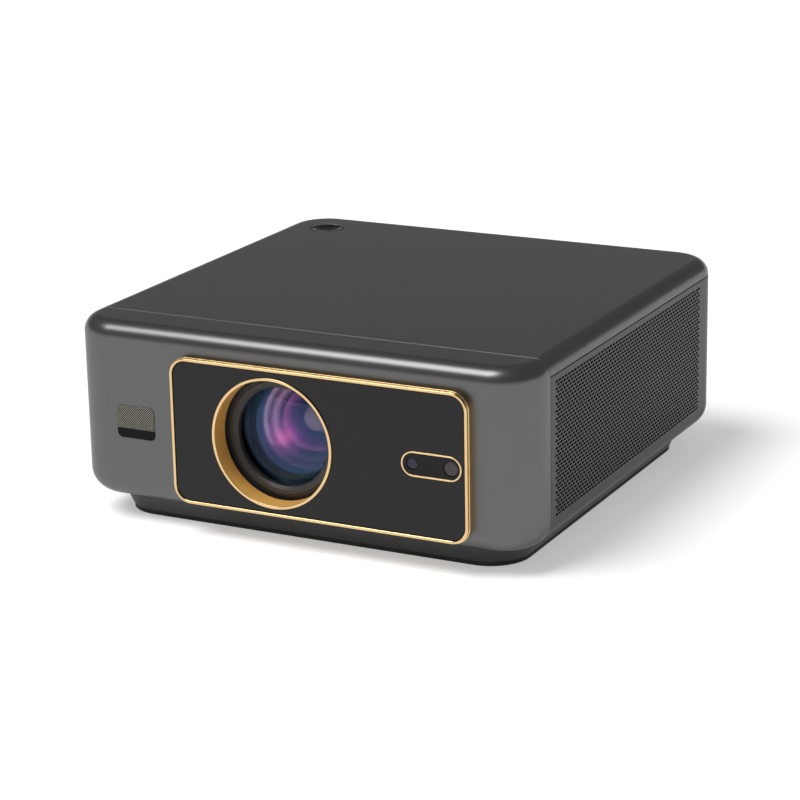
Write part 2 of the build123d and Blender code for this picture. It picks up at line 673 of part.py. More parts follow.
def make_front_glass():
    """Black glass with the lens opening and the sensor slot."""
    inset = BEZEL_STEP + BEZEL_LAND + FIT / 2
    glass = front_slab(BEZEL_WIDTH - 2 * inset, BEZEL_HEIGHT - 2 * inset, BEZEL_RADIUS - inset,
                       BEZEL_X, Z_BEZEL, Y_GLASS, Y_GLASS_BACK)
    glass -= along_y(TRIM_RADIUS + FIT / 2, AXIS_X, Z_AXIS, Y_GLASS - 1, Y_GLASS_BACK + 1)
    return glass - stadium_slab(SENSOR_WIDTH + FIT, SENSOR_HEIGHT + FIT, SENSOR_X, Z_AXIS,
                                Y_GLASS - 1, Y_GLASS_BACK + 1)


def make_lens_trim():
    """Gold ring through the glass, with a flange behind it and a tunnel back to the barrel."""
    y_flange = Y_GLASS_BACK + TRIM_FLANGE_THICKNESS
    y_end = Y_LAND + TUNNEL_DEPTH
    bore = TRIM_RADIUS - TRIM_LAND
    section = [(bore, Y_LAND), (TRIM_RADIUS, Y_LAND), (TRIM_RADIUS, Y_GLASS_BACK),
               (TRIM_RADIUS + TRIM_FLANGE, Y_GLASS_BACK), (TRIM_RADIUS + TRIM_FLANGE, y_flange),
               (TRIM_RADIUS, y_flange), (TRIM_RADIUS, y_end), (bore, y_end)]
    return turned_y(section, AXIS_X, Z_AXIS)


def sensor_places():
    """X of the camera and of the distance sensor."""
    return SENSOR_X - SENSOR_SPACING / 2, SENSOR_X + SENSOR_SPACING / 2


def make_sensor_trim():
    outer = stadium_slab(SENSOR_WIDTH, SENSOR_HEIGHT, SENSOR_X, Z_AXIS,
                         Y_GLASS - SENSOR_TRIM_PROUD, Y_GLASS_BACK)
    return outer - stadium_slab(SENSOR_WIDTH - 2 * SENSOR_TRIM, SENSOR_HEIGHT - 2 * SENSOR_TRIM,
                                SENSOR_X, Z_AXIS, Y_GLASS - 1, Y_GLASS_BACK + 1)


def make_sensor_window():
    """Dark window inside the trim, with a hole for each sensor's nose."""
    shrink = 2 * SENSOR_TRIM + FIT
    window = stadium_slab(SENSOR_WIDTH - shrink, SENSOR_HEIGHT - shrink, SENSOR_X, Z_AXIS,
                          Y_GLASS, Y_GLASS_BACK)
    for x, radius in zip(sensor_places(), (CAMERA_RADIUS, RANGER_RADIUS)):
        window -= along_y(radius + FIT / 2, x, Z_AXIS, Y_GLASS - 1, Y_GLASS_BACK + 1)
    return window


def make_sensor(x, radius):
    """Sensor with a round nose, a small lens recess and a square body on the sensor board."""
    y0 = Y_GLASS + SENSOR_TRIM_PROUD
    y1 = y0 + SENSOR_LENGTH
    section = [(0, y0 + SENSOR_RECESS), (radius - SENSOR_RIM, y0), (radius, y0), (radius, y1), (0, y1)]
    nose = turned_y(section, x, Z_AXIS)
    return nose + block(x - radius, x + radius, Y_GLASS_BACK + FIT, y1, Z_AXIS - radius, Z_AXIS + radius)


def make_sensor_board():
    y0 = Y_GLASS + SENSOR_TRIM_PROUD + SENSOR_LENGTH
    return front_slab(SENSOR_WIDTH - SENSOR_TRIM, SENSOR_HEIGHT, BOARD_CORNER, SENSOR_X, Z_AXIS,
                      y0, y0 + SENSOR_BOARD)


def make_badge_plate():
    return front_slab(BADGE_WIDTH, BADGE_HEIGHT, BADGE_RADIUS, BADGE_X, Z_SHELL + BADGE_RISE,
                      Y_FRONT - BADGE_PROUD, Y_FRONT + BADGE_RECESS)


# ---------------------------------------------------------------- lens
def make_lens_barrel():
    """Sliding barrel: set-back rim, front lip, a bore stepped for three lenses, and pin holes."""
    y1 = Y_BARREL + BARREL_LENGTH
    lip = BARREL_RADIUS - BARREL_RIM
    front_seat = FRONT_LENS_RADIUS + FIT / 2
    seat = INNER_LENS_RADIUS + FIT / 2
    waist = INNER_LENS_RADIUS - INNER_LENS_STEP
    y_middle = Y_BARREL + MIDDLE_LENS_SETBACK
    y_rear = Y_BARREL + REAR_LENS_SETBACK
    section = [
        (LENS_APERTURE, Y_BARREL),
        (lip, Y_BARREL),
        (lip, Y_BARREL + BARREL_RIM_SETBACK),
        (BARREL_RADIUS, Y_BARREL + BARREL_RIM_SETBACK),
        (BARREL_RADIUS, y1),
        (seat, y1),
        (seat, y_rear - SEAT_RELIEF),
        (waist, y_rear - SEAT_RELIEF),
        (waist, y_middle + MIDDLE_LENS_EDGE),
        (seat, y_middle + MIDDLE_LENS_EDGE),
        (seat, y_middle),
        (front_seat, y_middle),
        (front_seat, Y_BARREL + LIP_THICKNESS),
        (LENS_APERTURE, Y_BARREL + LIP_THICKNESS),
    ]
    barrel = turned_y(section, AXIS_X, Z_AXIS)
    holes = [pin_cylinder(i, CAM_PIN_RADIUS + FIT / 4, BARREL_RADIUS - CAM_PIN_SEAT, TUBE_RADIUS)
             for i in range(CAM_PIN_COUNT)]
    return barrel - holes


def lens_face(radius, y_edge, curve, bands):
    """(radius, y) points from a lens's middle to its edge, in bands. A positive curve bulges to -Y."""
    rim = math.sqrt(curve ** 2 - radius ** 2)
    points = []
    for i in range(bands + 1):
        r = radius * i / bands
        bulge = math.sqrt(curve ** 2 - r ** 2) - rim
        points.append((r, y_edge - math.copysign(bulge, curve)))
    return points


def make_front_lens():
    """Front lens: bulging, ground in narrow bands."""
    y = Y_BARREL + FRONT_LENS_SETBACK
    face = lens_face(FRONT_LENS_RADIUS, y, FRONT_LENS_CURVE, LENS_BAND_COUNT)
    edge = (FRONT_LENS_RADIUS, y + FRONT_LENS_EDGE)
    return turned_y(face + [edge, (0, y + FRONT_LENS_EDGE)], AXIS_X, Z_AXIS)


def make_middle_lens():
    """Middle lens: a thick plate with a dished front."""
    y = Y_BARREL + MIDDLE_LENS_SETBACK
    dish = lens_face(INNER_LENS_RADIUS, y, -INNER_LENS_CURVE, 1)
    edge = (INNER_LENS_RADIUS, y + MIDDLE_LENS_EDGE)
    return turned_y(dish + [edge, (0, y + MIDDLE_LENS_EDGE)], AXIS_X, Z_AXIS)


def make_rear_lens():
    """Rear lens: bulging on both sides."""
    y = Y_BARREL + REAR_LENS_SETBACK
    front = lens_face(INNER_LENS_RADIUS, y, INNER_LENS_CURVE, 1)
    back = lens_face(INNER_LENS_RADIUS, y + REAR_LENS_EDGE, -INNER_LENS_CURVE, 1)
    return turned_y(front + back[::-1], AXIS_X, Z_AXIS)


def pin_cylinder(index, radius, r0, r1):
    """Radial cylinder of one cam pin, between two radii from the optical axis."""
    angle = CAM_PIN_ANGLE + index * 360 / CAM_PIN_COUNT
    spoke = at((r0 + r1) / 2, 0, 0) * Rot(0, 90, 0) * Cylinder(radius, r1 - r0)
    return at(AXIS_X, Y_PIN, Z_AXIS) * Rot(0, angle, 0) * spoke


def make_cam_pins():
    """Followers on the barrel that run in the ring's helical slots."""
    pins = [pin_cylinder(i, CAM_PIN_RADIUS, BARREL_RADIUS - CAM_PIN_SEAT, RING_RADIUS - RUN)
            for i in range(CAM_PIN_COUNT)]
    return Compound(children=pins)


def make_lens_tube():
    """Fixed tube: straight slots for the pins, a shoulder and clip groove, a flange and motor pillars."""
    y_end = Y_ENGINE
    y_flange = y_end - TUBE_FLANGE
    y_shoulder = Y_RING - RUN
    y_clip = Y_GEAR_END + RUN
    section = [
        (TUBE_BORE, Y_FRONT + TUBE_START),
        (TUBE_RADIUS, Y_FRONT + TUBE_START),
        (TUBE_RADIUS, y_shoulder - SHOULDER_LENGTH),
        (TUBE_RADIUS + SHOULDER_HEIGHT, y_shoulder - SHOULDER_LENGTH),
        (TUBE_RADIUS + SHOULDER_HEIGHT, y_shoulder),
        (TUBE_RADIUS, y_shoulder),
        (TUBE_RADIUS, y_clip),
        (TUBE_RADIUS - CLIP_GROOVE, y_clip),
        (TUBE_RADIUS - CLIP_GROOVE, y_clip + CLIP_WIDTH),
        (TUBE_RADIUS, y_clip + CLIP_WIDTH),
        (TUBE_RADIUS, y_flange),
        (TUBE_FLANGE_RADIUS, y_flange),
        (TUBE_FLANGE_RADIUS, y_end),
        (TUBE_BORE, y_end),
    ]
    tube = turned_y(section, AXIS_X, Z_AXIS)
    tube += motor_ears(y_flange, y_end) - along_y(TUBE_BORE, AXIS_X, Z_AXIS, y_flange - 1, y_end + 1)
    tube += [along_y(PILLAR_RADIUS, x, z, Y_GEAR - MOTOR_GAP, y_flange) for x, z in pillar_places()]
    half = CAM_PIN_RADIUS + RUN
    slot = at((TUBE_BORE + TUBE_RADIUS) / 2, -FOCUS_TRAVEL / 2, 0)
    slot *= Box(2 * TUBE_WALL, FOCUS_TRAVEL + 2 * half, 2 * half)
    for i in range(CAM_PIN_COUNT):
        angle = CAM_PIN_ANGLE + i * 360 / CAM_PIN_COUNT
        tube -= at(AXIS_X, Y_PIN, Z_AXIS) * Rot(0, angle, 0) * slot
    return tube


def pillar_places():
    """X and Z of the two pillars, either side of the motor."""
    tangent = math.radians(PINION_DIRECTION + 90)
    step = (MOTOR_EAR * math.cos(tangent), -MOTOR_EAR * math.sin(tangent))
    return [(PINION_X + i * step[0], PINION_Z + i * step[1]) for i in (-1, 1)]


def motor_ears(y0, y1):
    """Long plate through both pillars, square to the optical axis."""
    plate = extrude(SlotCenterToCenter(2 * MOTOR_EAR, MOTOR_EAR_WIDTH), y1 - y0)
    turn = -(PINION_DIRECTION + 90)
    hub = extrude(Circle(MOTOR_RADIUS), y1 - y0)
    return at(PINION_X, y1, PINION_Z) * Rot(90, 0, 0) * Rot(0, 0, turn) * (plate + hub)


def helical_slot(index):
    """Cutter for one cam slot: it climbs by the focus travel while the ring turns through its range."""
    half = CAM_PIN_RADIUS + RUN
    radius = (RING_BORE + RING_RADIUS) / 2
    over = math.degrees(half / radius)
    turn = FOCUS_TURN + 2 * over
    pitch = FOCUS_TRAVEL * 360 / FOCUS_TURN
    climb = pitch * turn / 360
    path = Helix(pitch=pitch, height=climb, radius=radius)
    start = Plane(origin=path @ 0, x_dir=(1, 0, 0), z_dir=path % 0)
    cutter = sweep(start * Rectangle(3 * CAM_WALL, 2 * half), path=path, is_frenet=True)
    angle = CAM_PIN_ANGLE + index * 360 / CAM_PIN_COUNT - FOCUS_TURN - over
    local = Rot(0, 0, angle) * at(0, 0, -FOCUS_TRAVEL - pitch * over / 360) * cutter
    return at(AXIS_X, Y_PIN, Z_AXIS) * Rot(-90, 0, 0) * local


def gear_outline(teeth, phase):
    """Gear face about the origin with straight-flanked teeth. Phase is the first tooth's direction."""
    pitch_radius = GEAR_MODULE * teeth / 2
    tip = pitch_radius + ADDENDUM * GEAR_MODULE
    root = pitch_radius - DEDENDUM * GEAR_MODULE
    slope = math.tan(math.radians(PRESSURE_ANGLE))
    half = TOOTH_SHARE * math.pi * GEAR_MODULE / 2
    half_tip = (half - ADDENDUM * GEAR_MODULE * slope) / tip
    half_root = (half + DEDENDUM * GEAR_MODULE * slope) / root
    corners = []
    for i in range(teeth):
        middle = math.radians(phase) + i * 2 * math.pi / teeth
        for r, a in ((root, -half_root), (tip, -half_tip), (tip, half_tip), (root, half_root)):
            corners.append((r * math.cos(middle + a), r * math.sin(middle + a)))
    return make_face(Polyline(*corners, close=True))


def make_focus_ring():
    """Cam ring with helical slots and a toothed rim."""
    ring = turned_y([(RING_BORE, Y_RING), (RING_RADIUS, Y_RING), (RING_RADIUS, Y_GEAR),
                     (RING_BORE, Y_GEAR)], AXIS_X, Z_AXIS)
    rim = extrude(gear_outline(GEAR_TEETH, PINION_DIRECTION) - Circle(RING_BORE), GEAR_WIDTH)
    ring += at(AXIS_X, Y_GEAR, Z_AXIS) * Rot(-90, 0, 0) * rim
    for i in range(CAM_PIN_COUNT):
        ring -= helical_slot(i)
    return ring


def make_retaining_clip():
    """Open spring clip in the tube's groove that keeps the ring on."""
    y0 = Y_GEAR_END + RUN
    inner = TUBE_RADIUS - CLIP_GROOVE
    clip = turned_y([(inner, y0), (inner + CLIP_HEIGHT, y0), (inner + CLIP_HEIGHT, y0 + CLIP_WIDTH),
                     (inner, y0 + CLIP_WIDTH)], AXIS_X, Z_AXIS)
    gap = 2 * TUBE_RADIUS * math.sin(math.radians(CLIP_GAP_ANGLE / 2))
    return clip - block(AXIS_X - gap / 2, AXIS_X + gap / 2, y0 - 1, y0 + CLIP_WIDTH + 1,
                        Z_AXIS - 2 * TUBE_RADIUS, Z_AXIS)


def make_focus_motor():
    """Stepper motor: can, nose towards the pinion, and a plate with two ears on the pillars."""
    y1 = Y_GEAR - MOTOR_GAP
    y_can = y1 - MOTOR_EAR_THICKNESS
    motor = along_y(MOTOR_RADIUS, PINION_X, PINION_Z, y_can - MOTOR_LENGTH, y_can)
    motor += motor_ears(y_can, y1)
    return motor - along_y(SHAFT_RADIUS + SHAFT_FIT, PINION_X, PINION_Z, y_can - MOTOR_LENGTH / 2, y1 + 1)


def make_motor_pinion():
    """Pinion with its shaft, in mesh with the focus ring."""
    phase = PINION_DIRECTION + 180 + 180 / PINION_TEETH
    gear = extrude(gear_outline(PINION_TEETH, phase), GEAR_WIDTH)
    pinion = at(PINION_X, Y_GEAR, PINION_Z) * Rot(-90, 0, 0) * gear
    y_shaft = Y_GEAR - MOTOR_GAP - MOTOR_EAR_THICKNESS - MOTOR_LENGTH / 3
    return pinion + along_y(SHAFT_RADIUS, PINION_X, PINION_Z, y_shaft, Y_GEAR)


# ---------------------------------------------------------------- light engine
def plate_places():
    """X of each upright optical plate, with its thickness."""
    return {
        "front_fresnel": (FRONT_FRESNEL_X, FRESNEL_THICKNESS),
        "lcd_panel": (PANEL_X, PANEL_THICKNESS),
        "rear_fresnel": (REAR_FRESNEL_X, FRESNEL_THICKNESS),
        "heat_glass": (HEAT_GLASS_X, HEAT_GLASS_THICKNESS),
    }


def engine_inside():
    """Inner limits of the light engine: x0, x1, y0, y1, z0, z1."""
    return (X_ENGINE - ENGINE_WIDTH + ENGINE_WALL, X_ENGINE - ENGINE_WALL,
            Y_ENGINE + ENGINE_WALL, Y_ENGINE + ENGINE_DEPTH - ENGINE_WALL,
            Z_ENGINE + ENGINE_WALL, Z_ENGINE + ENGINE_HEIGHT)


def make_engine_case():
    """Open-topped alloy box with the lens port, the lamp port and slots for the optical plates."""
    outline = RectangleRounded(ENGINE_WIDTH, ENGINE_DEPTH, ENGINE_CORNER)
    case = extrude(at(ENGINE_X, Y_LAMP, Z_ENGINE) * outline, ENGINE_HEIGHT)
    x0, x1, y0, y1, z0, z1 = engine_inside()
    case -= block(x0, x1, y0, y1, z0, z1 + 1)
    for x, thickness in plate_places().values():
        gap = thickness / 2 + FIT
        for x_rib in (x - gap - PLATE_RIB, x + gap):
            case += block(x_rib, x_rib + PLATE_RIB, y0 - 1, y0 + PLATE_RIB_DEPTH, z0, z1)
            case += block(x_rib, x_rib + PLATE_RIB, y1 - PLATE_RIB_DEPTH, y1 + 1, z0, z1)
    case -= along_y(ENGINE_PORT, AXIS_X, Z_AXIS, Y_ENGINE - 1, y0 + 1)
    return case - along_x(LAMP_RADIUS + LAMP_WALL + FIT, Y_LAMP, Z_AXIS, x1 - 1, X_ENGINE + 1)


def make_engine_cover():
    """Lid with stiffening ribs."""
    z0 = Z_ENGINE + ENGINE_HEIGHT
    outline = RectangleRounded(ENGINE_WIDTH, ENGINE_DEPTH, ENGINE_CORNER)
    lid = extrude(at(ENGINE_X, Y_LAMP, z0) * outline, ENGINE_COVER)
    for y in spread(3, ENGINE_DEPTH / 4):
        lid += block(X_ENGINE - ENGINE_WIDTH + 2 * ENGINE_CORNER, X_ENGINE - 2 * ENGINE_CORNER,
                     Y_LAMP + y - 1, Y_LAMP + y + 1, z0, z0 + 2 * ENGINE_COVER)
    return lid


def make_optical_plate(name):
    x, thickness = plate_places()[name]
    _, _, y0, y1, z0, z1 = engine_inside()
    return block(x - thickness / 2, x + thickness / 2, y0 + FIT, y1 - FIT, z0, z1 - FIT)


def make_turning_mirror():
    """Mirror at 45 degrees that turns the light from the lamp's axis to the lens's axis."""
    z0, z1 = engine_inside()[4:]
    height = z1 - z0 - FIT
    mirror = at(0, MIRROR_THICKNESS / 2, height / 2) * Box(MIRROR_LENGTH, MIRROR_THICKNESS, height)
    return at(AXIS_X, Y_LAMP, z0) * Rot(0, 0, 45) * mirror


def make_lamp_tube():
    return (along_x(LAMP_RADIUS + LAMP_WALL, Y_LAMP, Z_AXIS, X_ENGINE - LAMP_ENTRY, X_ENGINE + LAMP_LENGTH)
            - along_x(LAMP_RADIUS, Y_LAMP, Z_AXIS, 0, X_SIDE))


def make_condenser():
    """Plano-convex lens in the lamp tube, round side towards the light engine."""
    radius = LAMP_RADIUS - FIT / 2
    face = lens_face(radius, -CONDENSER_EDGE, CONDENSER_CURVE, 1)
    lens = turned_y(face + [(radius, 0), (0, 0)], 0, 0)
    return at(X_ENGINE + LAMP_LENGTH / 2, Y_LAMP, Z_AXIS) * Rot(0, 0, -90) * lens


def make_led_module():
    """Lamp board with its round emitter facing the condenser."""
    x0 = X_ENGINE + LAMP_LENGTH
    half = LED_BOARD_SIZE / 2
    board = block(x0, x0 + LED_BOARD, Y_LAMP - half, Y_LAMP + half, Z_AXIS - half, Z_AXIS + half)
    return board + along_x(LED_RADIUS, Y_LAMP, Z_AXIS, x0 - LED_HEIGHT, x0)


def make_led_heatsink():
    """Base plate and a comb of upright fins behind the lamp board."""
    x0 = X_ENGINE + LAMP_LENGTH + LED_BOARD
    half = SINK_SIZE / 2
    sink = block(x0, x0 + SINK_BASE, Y_LAMP - half, Y_LAMP + half, Z_AXIS - half, Z_AXIS + half)
    for y in spread(SINK_FINS, (SINK_SIZE - FIN_THICKNESS) / (SINK_FINS - 1)):
        sink += block(x0 + SINK_BASE, X_FAN - FAN_THICKNESS - SINK_GAP, Y_LAMP + y - FIN_THICKNESS / 2,
                      Y_LAMP + y + FIN_THICKNESS / 2, Z_AXIS - half, Z_AXIS + half)
    return sink


# ---------------------------------------------------------------- fans
def make_fan_frame(size):
    """Square fan frame about the origin, its axis along Z and its bearing plate at z = 0."""
    bore = size / 2 - FAN_RIM
    frame = extrude(RectangleRounded(size, size, FAN_CORNER), FAN_THICKNESS)
    frame -= upright(bore, 0, 0, -1, FAN_THICKNESS + 1)
    spider = Cylinder(FAN_HUB_RADIUS, FAN_BACK)
    for angle in (45, 135):
        spider += Rot(0, 0, angle) * Box(2 * bore + 2, FAN_STRUT, FAN_BACK)
    frame += at(0, 0, FAN_BACK / 2) * spider
    return frame - upright(SHAFT_RADIUS + SHAFT_FIT, 0, 0, -1, FAN_BACK + 1)


def make_fan_rotor(size):
    """Hub, shaft and pitched blades about the origin, its axis along Z."""
    z0 = FAN_BACK + 2 * RUN
    z1 = FAN_THICKNESS - 2 * RUN
    rotor = upright(FAN_HUB_RADIUS, 0, 0, z0, z1) + upright(SHAFT_RADIUS, 0, 0, RUN, z0)
    tip = size / 2 - FAN_RIM - 1.0
    span = tip - FAN_HUB_RADIUS + 1
    blade = Rot(BLADE_ANGLE, 0, 0) * Box(span, BLADE_CHORD, BLADE_THICKNESS)
    blade = at(tip - span / 2, 0, (z0 + z1) / 2) * blade
    rotor += [Rot(0, 0, i * 360 / FAN_BLADES) * blade for i in range(FAN_BLADES)]
    return rotor & upright(tip, 0, 0, RUN, z1)


def place_fan(piece, side, y):
    """Stand a fan against the bosses of one side wall, with its bearing plate outwards."""
    return at(side * X_FAN, y, Z_AXIS) * Rot(0, -90 * side, 0) * piece


def make_dust_filter():
    """Foam sheet behind the left grille, cut out round the fan's bosses."""
    x0 = -(X_SIDE - WALL - FIT)
    half = FILTER_HEIGHT / 2
    sheet = block(x0, x0 + FILTER_THICKNESS, Y_FRONT + FILTER_START,
                  Y_BACK - CORNER_RADIUS - FILTER_END_GAP, Z_AXIS - half, Z_AXIS + half)
    reach = INTAKE_FAN / 2 - FAN_CORNER
    for i in (-1, 1):
        for j in (-1, 1):
            sheet -= along_x(FAN_BOSS_RADIUS + FIT, Y_INTAKE + i * reach,
                             Z_AXIS + j * reach, -X_SIDE, -X_FAN)
    return sheet


# ---------------------------------------------------------------- speakers
def make_speaker_box(side):
    """Closed speaker enclosure with a round seat for the driver in its outer face."""
    y = Y_FRONT + SPEAKER_START + SPEAKER_DEPTH / 2
    x = side * (SPEAKER_FACE - SPEAKER_THICKNESS / 2)
    box = at(x, y, Z_AXIS) * Box(SPEAKER_THICKNESS, SPEAKER_DEPTH, SPEAKER_HEIGHT)
    box = fillet(box.edges().filter_by(Axis.X), SPEAKER_CORNER)
    face = side * SPEAKER_FACE
    x0, x1 = sorted((face + side, face - side * DRIVER_DEPTH))
    return box - along_x(DRIVER_RADIUS - DRIVER_FLANGE, y, Z_AXIS, x0, x1)


def make_speaker_driver(side):
    """Driver: flange, hollow cone with a flat dust cap, and magnet."""
    flange = DRIVER_FLANGE
    inner = DRIVER_RADIUS - flange - FIT
    section = [(0, -CONE_DEPTH), (CONE_THROAT, -CONE_DEPTH), (inner - flange, flange),
               (DRIVER_RADIUS, flange), (DRIVER_RADIUS, 0), (MAGNET_RADIUS, 0),
               (MAGNET_RADIUS, 1 - DRIVER_DEPTH), (0, 1 - DRIVER_DEPTH)]
    driver = revolve(make_face(Polyline(*section, close=True)), Axis.Y, 360)
    y = Y_FRONT + SPEAKER_START + SPEAKER_DEPTH / 2
    return at(side * SPEAKER_FACE, y, Z_AXIS) * Rot(0, 0, -90 * side) * driver


# ---------------------------------------------------------------- boards and sockets
def make_board(x, width, y0, deep, z0):
    return block(x - width / 2, x + width / 2, y0, y0 + deep, z0, z0 + BOARD)


def make_chip_heatsink():
    """Finned block on the main processor."""
    z0 = Z_MAIN_BOARD + BOARD
    y = Y_MAIN_BOARD + CHIP_SINK_GAP + CHIP_SINK_SIZE / 2
    half = CHIP_SINK_SIZE / 2
    x = MAIN_BOARD_X
    sink = block(x - half, x + half, y - half, y + half, z0, z0 + CHIP_SINK_HEIGHT / 3)
    for step in spread(CHIP_SINK_FINS, (CHIP_SINK_SIZE - FIN_THICKNESS) / (CHIP_SINK_FINS - 1)):
        sink += block(x + step - FIN_THICKNESS / 2, x + step + FIN_THICKNESS / 2, y - half, y + half,
                      z0, z0 + CHIP_SINK_HEIGHT)
    return sink


def make_power_parts():
    """Transformer, smoothing capacitors and heat spreader of the power supply."""
    z0 = Z_POWER_BOARD + BOARD
    x0 = POWER_BOARD_END - POWER_BOARD_WIDTH + POWER_PART_MARGIN
    x1 = POWER_BOARD_END - POWER_PART_MARGIN
    y0 = Y_POWER_BOARD + TRANSFORMER_START
    y1 = y0 + TRANSFORMER_LENGTH
    y_end = Y_POWER_BOARD + POWER_BOARD_DEPTH - SPREADER_END
    transformer = block(x0, x1, y0, y1, z0, z0 + TRANSFORMER_HEIGHT)
    spreader = block(x1, x1 + SPREADER_WIDTH, y1 + PART_GAP, y_end, z0, z0 + SPREADER_HEIGHT)
    y_capacitor = y1 + PART_GAP + CAPACITOR_RADIUS
    capacitors = [upright(CAPACITOR_RADIUS, x0 + CAPACITOR_RADIUS, y_capacitor + i * CAPACITOR_PITCH,
                          z0, z0 + CAPACITOR_HEIGHT) for i in range(2)]
    return Compound(children=[transformer, spreader, *capacitors])


def port_hole(x, z, width, height):
    """Cutter through the port plate for a socket of this size."""
    y0 = Y_PORTS - PORT_PLATE_THICKNESS
    return bar(x, z, width + 2 * FIT, height + 2 * FIT, y0 - 1, Y_PORTS + 1)


def make_port_plate():
    """Plate behind the housing's window, with an opening for each socket."""
    plate = front_slab(PORT_PLATE_WIDTH, PORT_PLATE_HEIGHT, PORT_PLATE_RADIUS + PORT_PLATE_LAP,
                       PORT_PLATE_X, Z_PORTS, Y_PORTS - PORT_PLATE_THICKNESS, Y_PORTS)
    for places, (width, height, _) in ((HDMI_X, HDMI_SIZE), (USB_X, USB_SIZE), (JACK_X, JACK_SIZE)):
        for x in places:
            plate -= port_hole(x, socket_middle(height), width, height)
    plate -= along_y(RECEIVER_RADIUS + FIT, RECEIVER_X, Z_PORTS, Y_PORTS - 2 * PORT_PLATE_THICKNESS, Y_BACK)
    lap = 2 * PORT_PLATE_LAP
    return plate - port_hole(INLET_X, Z_PORTS, INLET_WIDTH - lap, INLET_HEIGHT - lap)


def socket_middle(height):
    """Z of the middle of a socket that stands on the main board."""
    return Z_MAIN_BOARD + BOARD + height / 2


def make_sockets(places, size, wall):
    """Row of hollow sockets standing on the main board, open to the back."""
    width, height, deep = size
    z = socket_middle(height)
    sockets = []
    for x in places:
        pocket = bar(x, z, width - 2 * wall, height - 2 * wall, Y_PORTS - deep + 2 * wall, Y_PORTS + 1)
        sockets.append(bar(x, z, width, height, Y_PORTS - deep, Y_PORTS) - pocket)
    return Compound(children=sockets)


def make_audio_jacks():
    width, height, deep = JACK_SIZE
    z = socket_middle(height)
    jacks = []
    for x in JACK_X:
        body = bar(x, z, width, height, Y_PORTS - deep, Y_PORTS)
        jacks.append(body - along_y(JACK_BORE, x, z, Y_PORTS - deep + 1, Y_PORTS + 1))
    return Compound(children=jacks)


def make_remote_receiver():
    """Domed infrared window in the port plate."""
    y0 = Y_PORTS - RECEIVER_LENGTH
    receiver = along_y(RECEIVER_RADIUS, RECEIVER_X, Z_PORTS, y0, Y_PORTS)
    return receiver + along_y(RECEIVER_RADIUS + 1, RECEIVER_X, Z_PORTS, y0, Y_PORTS - PORT_PLATE_THICKNESS)


def make_mains_inlet():
    """Two-pin figure-of-eight inlet: body behind the plate, recessed mouth and two pins."""
    y_plate = Y_PORTS - PORT_PLATE_THICKNESS
    y0 = Y_PORTS - INLET_DEPTH
    body = bar(INLET_X, Z_PORTS, INLET_WIDTH, INLET_HEIGHT, y0, y_plate)
    collar = 2 * PORT_PLATE_LAP
    body += bar(INLET_X, Z_PORTS, INLET_WIDTH - collar, INLET_HEIGHT - collar, y_plate, Y_PORTS)
    body -= stadium_slab(INLET_MOUTH_WIDTH, INLET_MOUTH_HEIGHT, INLET_X, Z_PORTS,
                         Y_PORTS - INLET_MOUTH_DEPTH, Y_PORTS + 1)
    for i in (-1, 1):
        body += along_y(INLET_PIN_RADIUS, INLET_X + i * INLET_PIN_SPACING / 2, Z_PORTS,
                        Y_PORTS - INLET_MOUTH_DEPTH - 1, Y_PORTS - INLET_PIN_SETBACK)
    return body


# ---------------------------------------------------------------- power button
def key_pegs():
    """Places of the pegs that hold the key board under the top cover."""
    x = BUTTON_X + KEY_BOARD_SHIFT - KEY_BOARD_WIDTH / 2 + 1.5 * KEY_PEG_RADIUS
    reach = KEY_BOARD_DEPTH / 2 - 1.5 * KEY_PEG_RADIUS
    return [(x, Y_BUTTON - reach), (x, Y_BUTTON + reach)]


def make_power_button():
    """Finger button with a dished top, a retaining flange and a stem down to the switch."""
    z_flange = Z_GUIDE - RUN
    rim = BUTTON_RADIUS - BUTTON_RIM
    wide = BUTTON_RADIUS + GUIDE_WALL
    z_stem = Z_SWITCH + PLUNGER_SHOW
    section = [
        (0, Z_TOP - BUTTON_DISH),
        (rim, Z_TOP),
        (BUTTON_RADIUS, Z_TOP),
        (BUTTON_RADIUS, z_flange),
        (wide, z_flange),
        (wide, z_flange - BUTTON_FLANGE),
        (BUTTON_STEM_RADIUS, z_flange - BUTTON_FLANGE),
        (BUTTON_STEM_RADIUS, z_stem),
        (0, z_stem),
    ]
    half = make_face(Polyline(*[(r, 0, z) for r, z in section], close=True))
    return at(BUTTON_X, Y_BUTTON, 0) * revolve(half, Axis.Z, 360)


def make_switch_plunger():
    z1 = Z_SWITCH + PLUNGER_SHOW
    return upright(PLUNGER_RADIUS, BUTTON_X, Y_BUTTON, z1 - PLUNGER_LENGTH, z1)


def make_button_switch():
    """Switch body on the key board, with the plunger's well."""
    half = SWITCH_SIZE / 2
    z0 = Z_KEY_BOARD + BOARD
    body = block(BUTTON_X - half, BUTTON_X + half, Y_BUTTON - half, Y_BUTTON + half, z0, Z_SWITCH)
    return body - upright(PLUNGER_RADIUS + SHAFT_FIT, BUTTON_X, Y_BUTTON, z0 + 0.6, Z_SWITCH + 1)


def make_key_board():
    x = BUTTON_X + KEY_BOARD_SHIFT
    return make_board(x, KEY_BOARD_WIDTH, Y_BUTTON - KEY_BOARD_DEPTH / 2, KEY_BOARD_DEPTH, Z_KEY_BOARD)


